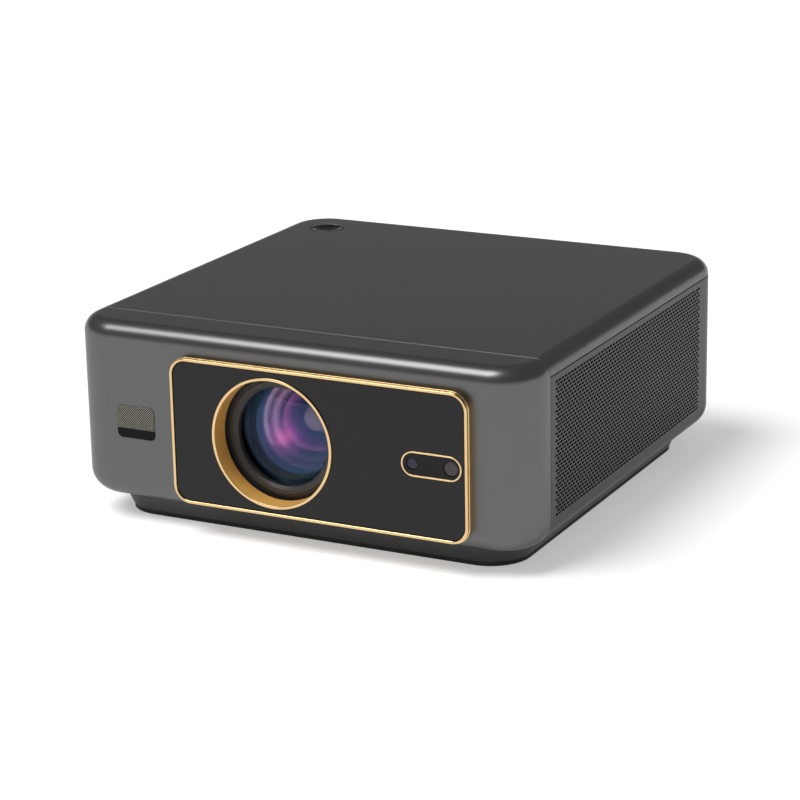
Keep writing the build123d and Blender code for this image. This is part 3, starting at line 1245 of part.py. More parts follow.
# ---------------------------------------------------------------- the whole projector
def all_parts():
    """Every node's name and shape."""
    skin = cabinet_skin()
    x_camera, x_ranger = sensor_places()
    parts = {
        "front_shell": make_front_shell(skin),
        "top_cover": make_top_cover(skin),
        "side_housing": make_side_housing(skin),
        "base_tray": make_base_tray(),
        "base_pad": make_base_pad(),
        "case_screws": make_case_screws(),
        "mount_inserts": make_mount_inserts(),
        "bezel_frame": make_bezel_frame(),
        "front_glass": make_front_glass(),
        "lens_trim_ring": make_lens_trim(),
        "sensor_trim_ring": make_sensor_trim(),
        "sensor_window": make_sensor_window(),
        "focus_camera": make_sensor(x_camera, CAMERA_RADIUS),
        "distance_sensor": make_sensor(x_ranger, RANGER_RADIUS),
        "sensor_board": make_sensor_board(),
        "badge_plate": make_badge_plate(),
        "lens_barrel": make_lens_barrel(),
        "front_lens": make_front_lens(),
        "middle_lens": make_middle_lens(),
        "rear_lens": make_rear_lens(),
        "cam_pins": make_cam_pins(),
        "lens_tube": make_lens_tube(),
        "focus_ring": make_focus_ring(),
        "retaining_clip": make_retaining_clip(),
        "focus_motor": make_focus_motor(),
        "motor_pinion": make_motor_pinion(),
        "engine_case": make_engine_case(),
        "engine_cover": make_engine_cover(),
        "turning_mirror": make_turning_mirror(),
        "lamp_tube": make_lamp_tube(),
        "condenser_lens": make_condenser(),
        "led_module": make_led_module(),
        "led_heatsink": make_led_heatsink(),
        "exhaust_fan_frame": place_fan(make_fan_frame(EXHAUST_FAN), 1, Y_LAMP),
        "exhaust_fan_rotor": place_fan(make_fan_rotor(EXHAUST_FAN), 1, Y_LAMP),
        "intake_fan_frame": place_fan(make_fan_frame(INTAKE_FAN), -1, Y_INTAKE),
        "intake_fan_rotor": place_fan(make_fan_rotor(INTAKE_FAN), -1, Y_INTAKE),
        "dust_filter": make_dust_filter(),
        "main_board": make_board(MAIN_BOARD_X, MAIN_BOARD_WIDTH, Y_MAIN_BOARD, MAIN_BOARD_DEPTH,
                                 Z_MAIN_BOARD),
        "chip_heatsink": make_chip_heatsink(),
        "power_board": make_board(POWER_BOARD_X, POWER_BOARD_WIDTH, Y_POWER_BOARD, POWER_BOARD_DEPTH,
                                  Z_POWER_BOARD),
        "power_components": make_power_parts(),
        "port_plate": make_port_plate(),
        "hdmi_sockets": make_sockets(HDMI_X, HDMI_SIZE, PORT_WALL),
        "usb_sockets": make_sockets(USB_X, USB_SIZE, PORT_WALL),
        "audio_jacks": make_audio_jacks(),
        "remote_receiver": make_remote_receiver(),
        "mains_inlet": make_mains_inlet(),
        "power_button": make_power_button(),
        "switch_plunger": make_switch_plunger(),
        "button_switch": make_button_switch(),
        "key_board": make_key_board(),
    }
    for name in plate_places():
        parts[name] = make_optical_plate(name)
    for side, word in ((-1, "left"), (1, "right")):
        parts[word + "_speaker_box"] = make_speaker_box(side)
        parts[word + "_speaker_driver"] = make_speaker_driver(side)
    return parts


os.makedirs("parts", exist_ok=True)
for node, shape in all_parts().items():
    export_step(shape, f"parts/{node}.step")
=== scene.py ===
"""Looks of a home projector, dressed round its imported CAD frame.

Units are metres in the part's own frame: +Z is up, the front faces -Y, and the origin is the middle
of the footprint on the table. Lengths named here are written in millimetres times MM. Every place
comes from the frame's nodes.
"""

import json
import math

import bmesh
import bpy
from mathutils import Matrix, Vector


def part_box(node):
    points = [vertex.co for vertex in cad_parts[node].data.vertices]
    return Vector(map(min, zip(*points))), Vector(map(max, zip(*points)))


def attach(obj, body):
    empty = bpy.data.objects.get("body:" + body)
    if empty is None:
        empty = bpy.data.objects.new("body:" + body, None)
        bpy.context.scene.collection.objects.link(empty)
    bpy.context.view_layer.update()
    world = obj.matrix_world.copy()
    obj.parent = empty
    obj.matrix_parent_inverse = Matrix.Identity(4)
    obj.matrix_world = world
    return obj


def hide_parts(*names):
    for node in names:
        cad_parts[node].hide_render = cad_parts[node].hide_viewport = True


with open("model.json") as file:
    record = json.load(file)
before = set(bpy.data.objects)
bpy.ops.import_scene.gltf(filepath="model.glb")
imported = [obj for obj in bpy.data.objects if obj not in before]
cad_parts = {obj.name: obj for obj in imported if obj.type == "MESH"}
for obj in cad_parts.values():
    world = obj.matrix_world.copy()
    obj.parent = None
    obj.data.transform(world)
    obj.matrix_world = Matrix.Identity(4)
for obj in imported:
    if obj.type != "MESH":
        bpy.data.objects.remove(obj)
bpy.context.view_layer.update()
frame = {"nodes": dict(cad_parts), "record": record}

MM = 0.001

# ---------------------------------------------------------------- sizes of the real pieces
CORNER_RADIUS = 22 * MM
TOP_EDGE_RADIUS = 8 * MM
BOTTOM_EDGE_RADIUS = 11.5 * MM
WALL = 2.5 * MM
SEAM = 0.3 * MM
SEAM_EDGE = 0.28 * MM
LIP_WIDTH = 18 * MM
FIT = 0.15 * MM
COLUMN_RADIUS = 4 * MM
COLUMN_BORE = 1.575 * MM
COLUMN_STEPS = 32
BOSS_HEIGHT = 9.2 * MM
FLOOR = 2.5 * MM
FRONT_COLUMN_X, FRONT_COLUMN_D = 70 * MM, 34 * MM
REAR_COLUMN_X, REAR_COLUMN_D = 78 * MM, 25 * MM
FRONT_SCREW_X, FRONT_SCREW_D = 92 * MM, 20.3 * MM
GUIDE_DEPTH = 7.5 * MM
HOLE_SPARE = 0.5 * MM
# Forms added to a piece start ROOT deep in its wall, or HAIR off a face that they would share.
ROOT = 0.3 * MM
HAIR = ROOT / 10

# The grille's slots lie on a grid of half cells, GRILLE_UNIT wide and high.
GRILLE_UNIT = 0.875 * MM
GRILLE_ROWS = 37
GRILLE_HALF_LENGTH = 104
GRILLE_TOP_GAP = 2.825 * MM
GRILLE_SLOT_LENGTH, GRILLE_SLOT_HEIGHT = 2.9 * MM, 1.25 * MM
# Share of a slot's half length and half height at which its corners lie.
GRILLE_SLOT_CORNER = 0.8
GRILLE_THICKNESS = 1.2 * MM

BEZEL_RADIUS = 9 * MM
BEZEL_STEP = 0.4 * MM
BEZEL_STEP_DEPTH = 1.5 * MM
BEZEL_LAND = 1.4 * MM
BEZEL_ROUND = 0.5 * MM
BEZEL_SPIGOT_INSET = 1.6 * MM
BEZEL_GROOVE = 0.25 * MM
GLASS_LEDGE = 0.9 * MM
GLASS_CHAMFER = 0.25 * MM

BADGE_RADIUS = 2.6 * MM
BADGE_ROUND = 0.35 * MM
BADGE_BAND = 0.3
BADGE_HATCH = 0.8 * MM

TRIM_LAND = 1.4 * MM
TRIM_FLANGE = 1.2 * MM
TRIM_FLANGE_DEPTH = 1.5 * MM
TRIM_SLACK = 0.1 * MM
EDGE_ROUND = 0.25 * MM
SENSOR_TRIM = 0.8 * MM
SENSOR_ROUND = EDGE_ROUND / 2
EYE_RIM = 0.35 * MM
EYE_DEPTH = 0.25 * MM
EYE_DISH = 0.12 * MM
EYE_STEPS = 8

BARREL_RIM = 1.3 * MM
BARREL_RIM_DEPTH = 1.0 * MM
BARREL_APERTURE = 24 * MM
BARREL_ROUND = 0.4 * MM
# Steps of the lip: out from the aperture, and back from the barrel's front.
BARREL_LIP = ((0, 1.1 * MM), (0.5 * MM, 0.5 * MM), (0.9 * MM, 0.45 * MM), (1.2 * MM, 0.1 * MM))
BARREL_BORE = 26.1 * MM
BARREL_TUBE = 22.1 * MM
BARREL_NECK = 20.5 * MM
# Distances behind the barrel's front at which its bore changes.
BAFFLES_END, SHOULDER, NECK_START, NECK_END = 22 * MM, 23 * MM, 30 * MM, 42.4 * MM
BAFFLES = 10
BAFFLE_RADIUS = 25.3 * MM
BAFFLE_GAP = 2 * MM
BAFFLE_EDGES = 0.2, 0.8
# Faces that take the baffles' black: this close to the bore, and from this far in front of the seat.
BORE_SLACK, SEAT_SLACK = 0.2 * MM, 1 * MM
# Width of the front lens's seat, and how far in front of the dome at SEAT_RADIUS it starts and ends.
SEAT_WIDTH, SEAT_START, SEAT_END = 1.2 * MM, 0.9 * MM, 0.75 * MM
SEAT_RADIUS = 26 * MM
LENS_CURVE = 75 * MM
LENS_EDGE = 4 * MM
LENS_STEPS = 24
MIDDLE_CURVES = -60 * MM, 400 * MM
REAR_CURVES = 60 * MM, 60 * MM

BUTTON_GAP = 0.3 * MM
BUTTON_RIM = 1 * MM
BUTTON_DISH = 1.5 * MM
BUTTON_ROUND = 0.3 * MM
DISH_STEPS = 16
BUTTON_STEPS = 96
# Distances below the button's top at which its skirt and its flange end.
SKIRT_DEPTH, FLANGE_DEPTH = 7.8 * MM, 9.3 * MM
PLUNGER_RADIUS = 2.4 * MM
GUIDE_WALL = 1.6 * MM

PORT_RADIUS = 4 * MM
PORT_LAP = 3 * MM
HDMI_WIDTH, HDMI_TONGUE, HDMI_CONTACTS = 15.4 * MM, 1.4 * MM, 9
USB_WIDTH, USB_TONGUE, USB_CONTACTS = 14.4 * MM, 1.9 * MM, 4
SOCKET_WALL = 0.6 * MM
SOCKET_CORNER = 0.9 * MM
TONGUE_SETBACK = 1.5 * MM
TONGUE_SHARE = 0.36
CONTACT_SHARE = 0.3
CONTACT_RISE = 0.12 * MM
CONTACT_SETBACK = CONTACT_RISE * 5
JACK_WIDTH = 8 * MM
JACK_BORE, JACK_RING, JACK_RISE, JACK_DEPTH = 1.7 * MM, 2.9 * MM, 0.3 * MM, 2 * MM

# ---------------------------------------------------------------- places read from the frame
front_low, front_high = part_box("front_shell")
side_low, side_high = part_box("side_housing")
bezel_low, bezel_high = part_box("bezel_frame")
glass_low, glass_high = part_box("front_glass")
trim_low, trim_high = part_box("lens_trim_ring")
badge_low, badge_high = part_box("badge_plate")
pill_low, pill_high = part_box("sensor_trim_ring")
barrel_low, barrel_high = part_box("lens_barrel")
lens_low, lens_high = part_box("front_lens")
button_low, button_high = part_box("power_button")
plate_low, plate_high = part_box("port_plate")
jack_low, jack_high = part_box("audio_jacks")
_, pad_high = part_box("base_pad")
_, screw_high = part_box("case_screws")


def seen_from_front(low, high):
    """Middle and size of a box as the front sees it: x, z, width, height."""
    return (low.x + high.x) / 2, (low.z + high.z) / 2, high.x - low.x, high.z - low.z


bezel_x, bezel_z, bezel_width, bezel_height = seen_from_front(bezel_low, bezel_high)
_, _, glass_width, glass_height = seen_from_front(glass_low, glass_high)
badge_x, badge_z, badge_width, badge_height = seen_from_front(badge_low, badge_high)
pill_x, pill_z, pill_width, pill_height = seen_from_front(pill_low, pill_high)
plate_x, plate_z, plate_width, plate_height = seen_from_front(plate_low, plate_high)

X_SIDE = side_high.x
Y_FRONT = front_low.y
Y_BACK = side_high.y
Y_MIDDLE = (Y_FRONT + Y_BACK) / 2
Y_SEAM = side_low.y - SEAM / 2
Z_SHELL = side_low.z
Z_SEAM = side_high.z + SEAM / 2
Z_TOP = front_high.z
Z_BOSS = pad_high.z + FLOOR + BOSS_HEIGHT
AXIS_X = (trim_low.x + trim_high.x) / 2
AXIS_Z = (trim_low.z + trim_high.z) / 2


# ---------------------------------------------------------------- outlines
def rounded(width, height, radius, steps=20):
    """Points of a rounded rectangle about the origin, anticlockwise."""
    points = []
    for quarter, (i, j) in enumerate(((1, 1), (-1, 1), (-1, -1), (1, -1))):
        centre = (i * (width / 2 - radius), j * (height / 2 - radius))
        for step in range(steps + 1):
            angle = (quarter + step / steps) * math.pi / 2
            points.append((centre[0] + radius * math.cos(angle), centre[1] + radius * math.sin(angle)))
    return points


def circle(radius, steps=128):
    turn = 2 * math.pi / steps
    return [(radius * math.cos(i * turn), radius * math.sin(i * turn)) for i in range(steps)]


def facing_front(points, x, z, y):
    """An outline in a plane that faces the front."""
    return [(x + u, y, z + v) for u, v in points]


def in_plan(points, x, y, z):
    """An outline in a level plane."""
    return [(x + u, y + v, z) for u, v in points]


# ---------------------------------------------------------------- meshes
# Points closer than MERGE are one point. Edges sharper than SHARP_FROM degrees can be rounded.
MERGE = 0.002 * MM
SHARP_FROM = 40


def make_object(name, bm):
    mesh = bpy.data.meshes.new(name)
    bmesh.ops.recalc_face_normals(bm, faces=bm.faces)
    bm.to_mesh(mesh)
    bm.free()
    piece = bpy.data.objects.new(name, mesh)
    bpy.context.scene.collection.objects.link(piece)
    return piece


def add_loops(bm, loops, closed=False):
    """Quads between neighbouring loops. A loop of one point closes to a tip. Open ends are capped."""
    rings = [[bm.verts.new(point) for point in loop] for loop in loops]
    pairs = list(zip(rings, rings[1:]))
    if closed:
        pairs.append((rings[-1], rings[0]))
    for low, high in pairs:
        count = max(len(low), len(high))
        for i in range(count):
            j = (i + 1) % count
            corners = [low[i % len(low)], low[j % len(low)], high[j % len(high)], high[i % len(high)]]
            bm.faces.new(list(dict.fromkeys(corners)))
    if not closed:
        for end in (rings[0], rings[-1]):
            if len(end) > 2:
                bm.faces.new(end)


def loft(name, loops, closed=False):
    bm = bmesh.new()
    add_loops(bm, loops, closed)
    return make_object(name, bm)


def turned(profile, x, z, steps=128):
    """Loops round the lens's axis, from (radius, y) points."""
    return [facing_front(circle(r, steps), x, z, y) if r > 0 else [(x, y, z)] for r, y in profile]


def upright(profile, x, y, steps):
    """Loops round an upright axis, from (radius, z) points."""
    return [in_plan(circle(r, steps), x, y, z) if r > 0 else [(x, y, z)] for r, z in profile]


def framed(profile, width, height, radius, x, z):
    """Loops round a rounded rectangle that faces the front, from (inset, y) points."""
    return [facing_front(rounded(width - 2 * d, height - 2 * d, radius - d), x, z, y) for d, y in profile]


def arc(centre, radius, start, end, steps=5):
    """(a, b) points on a quarter or other part of a circle, angles in degrees."""
    turns = [math.radians(start + (end - start) * i / steps) for i in range(steps + 1)]
    return [(centre[0] + radius * math.cos(t), centre[1] + radius * math.sin(t)) for t in turns]


def block(low, high):
    """Loops of a plain box, used as a cutter or as one part of a piece."""
    (x0, y0, z0), (x1, y1, z1) = low, high
    corners = [(x0, y0), (x1, y0), (x1, y1), (x0, y1)]
    return [[(x, y, z) for x, y in corners] for z in (z0, z1)]


def combine(piece, others, operation):
    """Boolean of a piece with loops, each set of which becomes a closed tool."""
    bm = bmesh.new()
    for loops, closed in others:
        add_loops(bm, loops, closed)
    tool = make_object("tool", bm)
    modifier = piece.modifiers.new("combine", "BOOLEAN")
    modifier.operation = operation
    modifier.solver = "EXACT"
    modifier.object = tool
    graph = bpy.context.evaluated_depsgraph_get()
    mesh = bpy.data.meshes.new_from_object(piece.evaluated_get(graph))
    piece.modifiers.clear()
    piece.data = mesh
    bpy.data.objects.remove(tool)
    return piece


def round_edges(piece, width, chosen, segments=3):
    """Rounds the sharp edges whose two ends are both chosen."""
    bm = bmesh.new()
    bm.from_mesh(piece.data)
    bmesh.ops.remove_doubles(bm, verts=bm.verts, dist=MERGE)
    bmesh.ops.dissolve_degenerate(bm, edges=bm.edges, dist=MERGE)
    bm.normal_update()
    edges = [edge for edge in bm.edges
             if len(edge.link_faces) == 2 and edge.calc_face_angle(0) > math.radians(SHARP_FROM)
             and all(chosen(corner.co) for corner in edge.verts)]
    bmesh.ops.bevel(bm, geom=edges, offset=width, segments=segments, profile=0.5, affect="EDGES",
                    clamp_overlap=True)
    bm.to_mesh(piece.data)
    bm.free()
    return piece


def smooth(piece, angle=35):
    """Smooth shading that keeps flats flat and real edges crisp."""
    piece.data.shade_smooth()
    piece.data.set_sharp_from_angle(angle=math.radians(angle))
    modifier = piece.modifiers.new("normals", "WEIGHTED_NORMAL")
    modifier.keep_sharp = True
    return piece


# ---------------------------------------------------------------- materials
# Noise seldom leaves this range.
NOISE_LOW, NOISE_HIGH = 0.3, 0.7
BLOTCH = 25 * MM


def nodes_of(material):
    """A material's node tree, emptied."""
    material.use_nodes = True
    tree = material.node_tree
    tree.nodes.clear()
    return tree


def add(tree, kind, **inputs):
    """A node with its sockets set, where a value may be another node's output."""
    node = tree.nodes.new(kind)
    for name, value in inputs.items():
        socket = node.inputs[int(name[1:])] if name[0] == "_" else node.inputs[name.replace("_", " ")]
        if isinstance(value, bpy.types.NodeSocket):
            tree.links.new(value, socket)
        else:
            socket.default_value = value
    return node


def maths(tree, operation, a, b=0.0, c=0.0):
    """Output of a Math node, where a value may be another node's output."""
    node = tree.nodes.new("ShaderNodeMath")
    node.operation = operation
    for socket, value in zip(node.inputs, (a, b, c)):
        if isinstance(value, bpy.types.NodeSocket):
            tree.links.new(value, socket)
        else:
            socket.default_value = value
    return node.outputs[0]


def noise(tree, size, detail=3.0, stretch=(1, 1, 1)):
    """Noise in the object's own space, with grains about as large as size."""
    place = add(tree, "ShaderNodeTexCoord").outputs["Object"]
    scaled = add(tree, "ShaderNodeMapping", Vector=place, Scale=stretch).outputs[0]
    return add(tree, "ShaderNodeTexNoise", Vector=scaled, Scale=1 / size, Detail=detail).outputs["Fac"]


def between(tree, factor, low, high):
    """Value that runs from low to high with a noise."""
    return add(tree, "ShaderNodeMapRange", Value=factor, _1=NOISE_LOW, _2=NOISE_HIGH, _3=low,
               _4=high).outputs[0]


def colour_between(tree, factor, low, high):
    """Colour that runs from low to high with a noise."""
    ramp = tree.nodes.new("ShaderNodeValToRGB")
    ramp.color_ramp.elements[0].position = NOISE_LOW
    ramp.color_ramp.elements[0].color = (*low, 1)
    ramp.color_ramp.elements[1].position = NOISE_HIGH
    ramp.color_ramp.elements[1].color = (*high, 1)
    tree.links.new(factor, ramp.inputs[0])
    return ramp.outputs[0]


def finish(name, colour, roughness, metallic=0.0, grain=0.3 * MM, relief=0.01 * MM, tint=0.06,
           spread=0.05, stretch=(1, 1, 1), **fixed):
    """Material with fine grain, soft blotches of tone, uneven gloss and a slight relief."""
    material = bpy.data.materials.new(name)
    tree = nodes_of(material)
    blotch = noise(tree, BLOTCH)
    fine = noise(tree, grain, 2.0, stretch)
    mixed = maths(tree, "ADD", maths(tree, "MULTIPLY", blotch, 0.5), maths(tree, "MULTIPLY", fine, 0.5))
    dark, pale = [[c * (1 + change) for c in colour] for change in (-tint, tint)]
    tone = colour_between(tree, mixed, dark, pale)
    gloss = between(tree, mixed, roughness - spread, roughness + spread)
    bump = add(tree, "ShaderNodeBump", Strength=1.0, Distance=relief, Height=fine).outputs[0]
    shader = add(tree, "ShaderNodeBsdfPrincipled", Base_Color=tone, Roughness=gloss, Normal=bump,
                 Metallic=metallic, **fixed)
    add(tree, "ShaderNodeOutputMaterial", Surface=shader.outputs[0])
    return material


GREY = (0.140, 0.140, 0.141)
# Weakens the paint's reflection at a grazing angle.
PAINT_EDGE = (0.75, 0.75, 0.75, 1)
LENS_TINT = (0.80, 0.78, 0.92)
# Clear glass whose plain reflection is blue.
COATED = dict(Transmission_Weight=1.0, IOR=1.52, Specular_Tint=(0.25, 0.6, 1, 1))
MATERIALS = {
    "shell_paint": finish("shell_paint", GREY, 0.31, 0.82, grain=0.25 * MM, relief=0.004 * MM,
                          tint=0.03, spread=0.01, Specular_Tint=PAINT_EDGE),
    # Black of the grille's slot bores and sheet backs, where it is painted shade.
    "bore_black": finish("bore_black", (0.006, 0.006, 0.006), 0.6, grain=0.3 * MM),
    # The shell's paint made darker for the sides and grille: the extra darkness is painted shade.
    "grille_paint": finish("grille_paint", (0.080, 0.080, 0.081), 0.38, 0.82, grain=0.25 * MM,
                           relief=0.008 * MM, tint=0.03, spread=0.01, Specular_Tint=PAINT_EDGE),
    "plinth": finish("plinth", (0.035, 0.035, 0.037), 0.5, grain=0.4 * MM),
    "pad_rubber": finish("pad_rubber", (0.012, 0.012, 0.012), 0.75, grain=0.5 * MM, relief=0.03 * MM),
    "gold": finish("gold", (0.78, 0.55, 0.28), 0.2, 1.0, grain=0.2 * MM, relief=0.002 * MM),
    "gold_satin": finish("gold_satin", (0.93, 0.52, 0.13), 0.4, 0.1, grain=0.2 * MM),
    "black_glass": finish("black_glass", (0.003, 0.003, 0.0032), 0.03, grain=2 * MM,
                          relief=0.0001 * MM, spread=0.01, IOR=1.4),
    "sensor_dark": finish("sensor_dark", (0.003, 0.003, 0.004), 0.06, grain=1 * MM,
                          relief=0.0005 * MM, spread=0.02, IOR=1.33),
    "badge_black": finish("badge_black", (0.008, 0.008, 0.009), 0.1, grain=0.5 * MM,
                          relief=0.001 * MM, spread=0.03),
    "barrel_black": finish("barrel_black", (0.036, 0.036, 0.038), 0.42, grain=0.2 * MM),
    "baffle_black": finish("baffle_black", (0.004, 0.004, 0.006), 0.3, grain=0.2 * MM),
    "lens_glass": finish("lens_glass", LENS_TINT, 0.02, grain=2 * MM, relief=0.00002 * MM,
                         spread=0.01, **COATED),
    "steel": finish("steel", (0.56, 0.56, 0.57), 0.28, 1.0, stretch=(1, 1, 12)),
    "engine_alloy": finish("engine_alloy", (0.35, 0.35, 0.36), 0.5, 1.0, grain=0.6 * MM,
                           relief=0.04 * MM),
    "sink_alloy": finish("sink_alloy", (0.70, 0.71, 0.73), 0.32, 1.0, stretch=(8, 1, 1)),
    "mirror": finish("mirror", (0.9, 0.9, 0.92), 0.02, 1.0, relief=0.0001 * MM, spread=0.01),
    "panel": finish("panel", (0.03, 0.035, 0.05), 0.08, spread=0.03),
    "clear_plate": finish("clear_plate", (0.85, 0.9, 0.92), 0.04, spread=0.02,
                          Transmission_Weight=1.0, IOR=1.49),
    "fan_black": finish("fan_black", (0.02, 0.02, 0.02), 0.45, grain=0.3 * MM),
    "board_green": finish("board_green", (0.02, 0.12, 0.05), 0.32, grain=0.8 * MM, tint=0.2),
    "board_black": finish("board_black", (0.02, 0.02, 0.03), 0.32, grain=0.8 * MM, tint=0.2),
    "drive_white": finish("drive_white", (0.72, 0.70, 0.64), 0.42, grain=0.4 * MM),
    "foam": finish("foam", (0.03, 0.03, 0.03), 0.9, grain=0.9 * MM, relief=0.4 * MM, tint=0.4),
    "button_gloss": finish("button_gloss", (0.004, 0.004, 0.004), 0.07, grain=0.5 * MM,
                           relief=0.0005 * MM, spread=0.02, IOR=1.38),
    "socket_steel": finish("socket_steel", (0.62, 0.62, 0.63), 0.25, 1.0, stretch=(1, 12, 1)),
    "socket_black": finish("socket_black", (0.012, 0.012, 0.012), 0.35, grain=0.3 * MM),
    "led_white": finish("led_white", (0.85, 0.83, 0.7), 0.5, grain=0.3 * MM),
    "insert_brass": finish("insert_brass", (0.72, 0.53, 0.25), 0.3, 1.0, stretch=(1, 1, 8)),
}


def dress(piece, slot, body="chassis", stands_for=()):
    """Gives a piece its material, the body it rides on and the nodes it stands for."""
    piece.data.materials.clear()
    piece.data.materials.append(MATERIALS[slot])
    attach(piece, body)
    if stands_for:
        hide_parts(*stands_for)
    return piece


def second_material(piece, material, chosen):
    """Puts another material on the chosen faces of a piece that is already dressed."""
    piece.data.materials.append(material)
    for face in piece.data.polygons:
        if chosen(face):
            face.material_index = 1


def off_axis(face, x, z):
    """Distance of a face's middle from an axis that runs from front to back."""
    return math.hypot(face.center.x - x, face.center.z - z)


for part in frame["record"]["subparts"]:
    node = frame["nodes"][part["node"]]
    node.data.materials.clear()
    node.data.materials.append(MATERIALS[part["material_slot"]])


# ---------------------------------------------------------------- cabinet
# Reach of the boxes that cut the skin apart, well beyond the cabinet.
FAR = 1.0
CABINET_STEPS = 10


def cabinet_loops(inset):
    """Loops of the cabinet's rounded block, pulled in by inset."""
    bottom, top = BOTTOM_EDGE_RADIUS - inset, TOP_EDGE_RADIUS - inset
    turns = [math.pi / 2 * i / CABINET_STEPS for i in range(CABINET_STEPS + 1)]
    levels = [(bottom * (1 - math.sin(turn)), Z_SHELL + inset + bottom * (1 - math.cos(turn)))
              for turn in turns]
    levels += [(top * (1 - math.cos(turn)), Z_TOP - inset - top * (1 - math.sin(turn)))
               for turn in turns]
    loops = []
    for d, z in levels:
        pull = inset + d
        outline = rounded(2 * (X_SIDE - pull), Y_BACK - Y_FRONT - 2 * pull, CORNER_RADIUS - pull)
        loops.append(in_plan(outline, 0, Y_MIDDLE, z))
    return loops


def skin(name):
    """The cabinet's closed skin, with the opening for the plinth."""
    opening = rounded(2 * (X_SIDE - LIP_WIDTH), Y_BACK - Y_FRONT - 2 * LIP_WIDTH, CORNER_RADIUS - WALL)
    hole = [in_plan(opening, 0, Y_MIDDLE, z) for z in (Z_SHELL - WALL, Z_SHELL + 2 * WALL)]
    piece = loft(name, cabinet_loops(0))
    combine(piece, [(cabinet_loops(WALL), False)], "DIFFERENCE")
    return combine(piece, [(hole, False)], "DIFFERENCE")


def keep(piece, low, high):
    """Cuts away what lies outside a box."""
    combine(piece, [(block(low, high), False)], "INTERSECT")


def column(x, y, z0, z1):
    """Loops of a screw column with a blind hole from below."""
    profile = [(COLUMN_BORE, screw_high.z + HOLE_SPARE), (COLUMN_BORE, z0), (COLUMN_RADIUS, z0),
               (COLUMN_RADIUS, z1)]
    return upright(profile, x, y, COLUMN_STEPS)


def add_forms(piece, forms):
    """Joins closed forms, given as (loops, closed), to a piece's mesh."""
    bm = bmesh.new()
    bm.from_mesh(piece.data)
    for loops, closed in forms:
        add_loops(bm, loops, closed)
    bmesh.ops.recalc_face_normals(bm, faces=bm.faces)
    bm.to_mesh(piece.data)
    bm.free()


def near(value, target, slack=0.02 * MM):
    """Whether a coordinate lies on a cut, apart from the boolean's rounding."""
    return abs(value - target) < slack


y_front_cut = Y_SEAM - SEAM / 2
y_rear_cut = Y_SEAM + SEAM / 2
z_housing = Z_SEAM - SEAM / 2
z_lid = Z_SEAM + SEAM / 2

front_wrap = skin("front_wrap")
keep(front_wrap, (-FAR, -FAR, -FAR), (FAR, y_front_cut, FAR))
window = framed([(BEZEL_SPIGOT_INSET - FIT, y) for y in (Y_FRONT - WALL, Y_FRONT + 2 * WALL)],
                bezel_width, bezel_height, BEZEL_RADIUS, bezel_x, bezel_z)
recess = framed([(-FIT, Y_FRONT - WALL), (-FIT, badge_high.y)], badge_width, badge_height,
                BADGE_RADIUS, badge_x, badge_z)
combine(front_wrap, [(window, False), (recess, False)], "DIFFERENCE")
round_edges(front_wrap, SEAM_EDGE, lambda p: near(p.y, y_front_cut))
z_root, z_end = Z_SHELL + HAIR, Z_SHELL + WALL + BOSS_HEIGHT
boss = [(COLUMN_BORE, z_root), (COLUMN_RADIUS, z_root), (COLUMN_RADIUS, z_end), (COLUMN_BORE, z_end)]
add_forms(front_wrap, [(upright(boss, side * FRONT_SCREW_X, Y_FRONT + FRONT_SCREW_D, COLUMN_STEPS), True)
                       for side in (-1, 1)])
dress(smooth(front_wrap), "shell_paint", stands_for=["front_shell"])

lid = skin("lid")
keep(lid, (-FAR, y_rear_cut, z_lid), (FAR, FAR, FAR))
button_x, button_y = (button_low.x + button_high.x) / 2, (button_low.y + button_high.y) / 2
button_radius = (button_high.x - button_low.x) / 2 - GUIDE_WALL
hole_radius = button_radius + BUTTON_GAP
hole = upright([(hole_radius, Z_TOP - 2 * WALL), (hole_radius, Z_TOP + WALL)], button_x, button_y,
               BUTTON_STEPS)
combine(lid, [(hole, False)], "DIFFERENCE")
round_edges(lid, SEAM_EDGE, lambda p: near(p.y, y_rear_cut) or near(p.z, z_lid) or near(p.z, Z_TOP))
z_root, z_end = Z_TOP - WALL + ROOT, Z_TOP - GUIDE_DEPTH
guide_radius = hole_radius + HAIR
guide = upright([(guide_radius, z_root), (guide_radius, z_end), (guide_radius + GUIDE_WALL, z_end),
                 (guide_radius + GUIDE_WALL, z_root)], button_x, button_y, BUTTON_STEPS)
columns = [(column(side * x, y, Z_BOSS, z_root), False)
           for x, y in ((FRONT_COLUMN_X, Y_FRONT + FRONT_COLUMN_D), (REAR_COLUMN_X, Y_BACK - REAR_COLUMN_D))
           for side in (-1, 1)]
add_forms(lid, columns + [(guide, True)])
dress(smooth(lid), "shell_paint", stands_for=["top_cover"])

housing = skin("housing")
keep(housing, (-FAR, y_rear_cut, -FAR), (FAR, FAR, z_housing))
grille_top = Z_SEAM - GRILLE_TOP_GAP
grille_bottom = grille_top - 2 * GRILLE_ROWS * GRILLE_UNIT
grille_half = GRILLE_HALF_LENGTH * GRILLE_UNIT
side_window = block((-FAR, Y_MIDDLE - grille_half, grille_bottom), (FAR, Y_MIDDLE + grille_half, grille_top))
port_window = framed([(PORT_LAP, y) for y in (plate_high.y - WALL, Y_BACK + WALL)], plate_width,
                     plate_height, PORT_RADIUS + PORT_LAP, plate_x, plate_z)
combine(housing, [(side_window, False), (port_window, False)], "DIFFERENCE")
round_edges(housing, SEAM_EDGE,
            lambda p: near(p.y, y_rear_cut) or near(p.z, z_housing) or near(p.y, Y_BACK))
# The sides take the darker paint, whose extra darkness is painted shade.
dress(smooth(housing), "grille_paint", stands_for=["side_housing"])


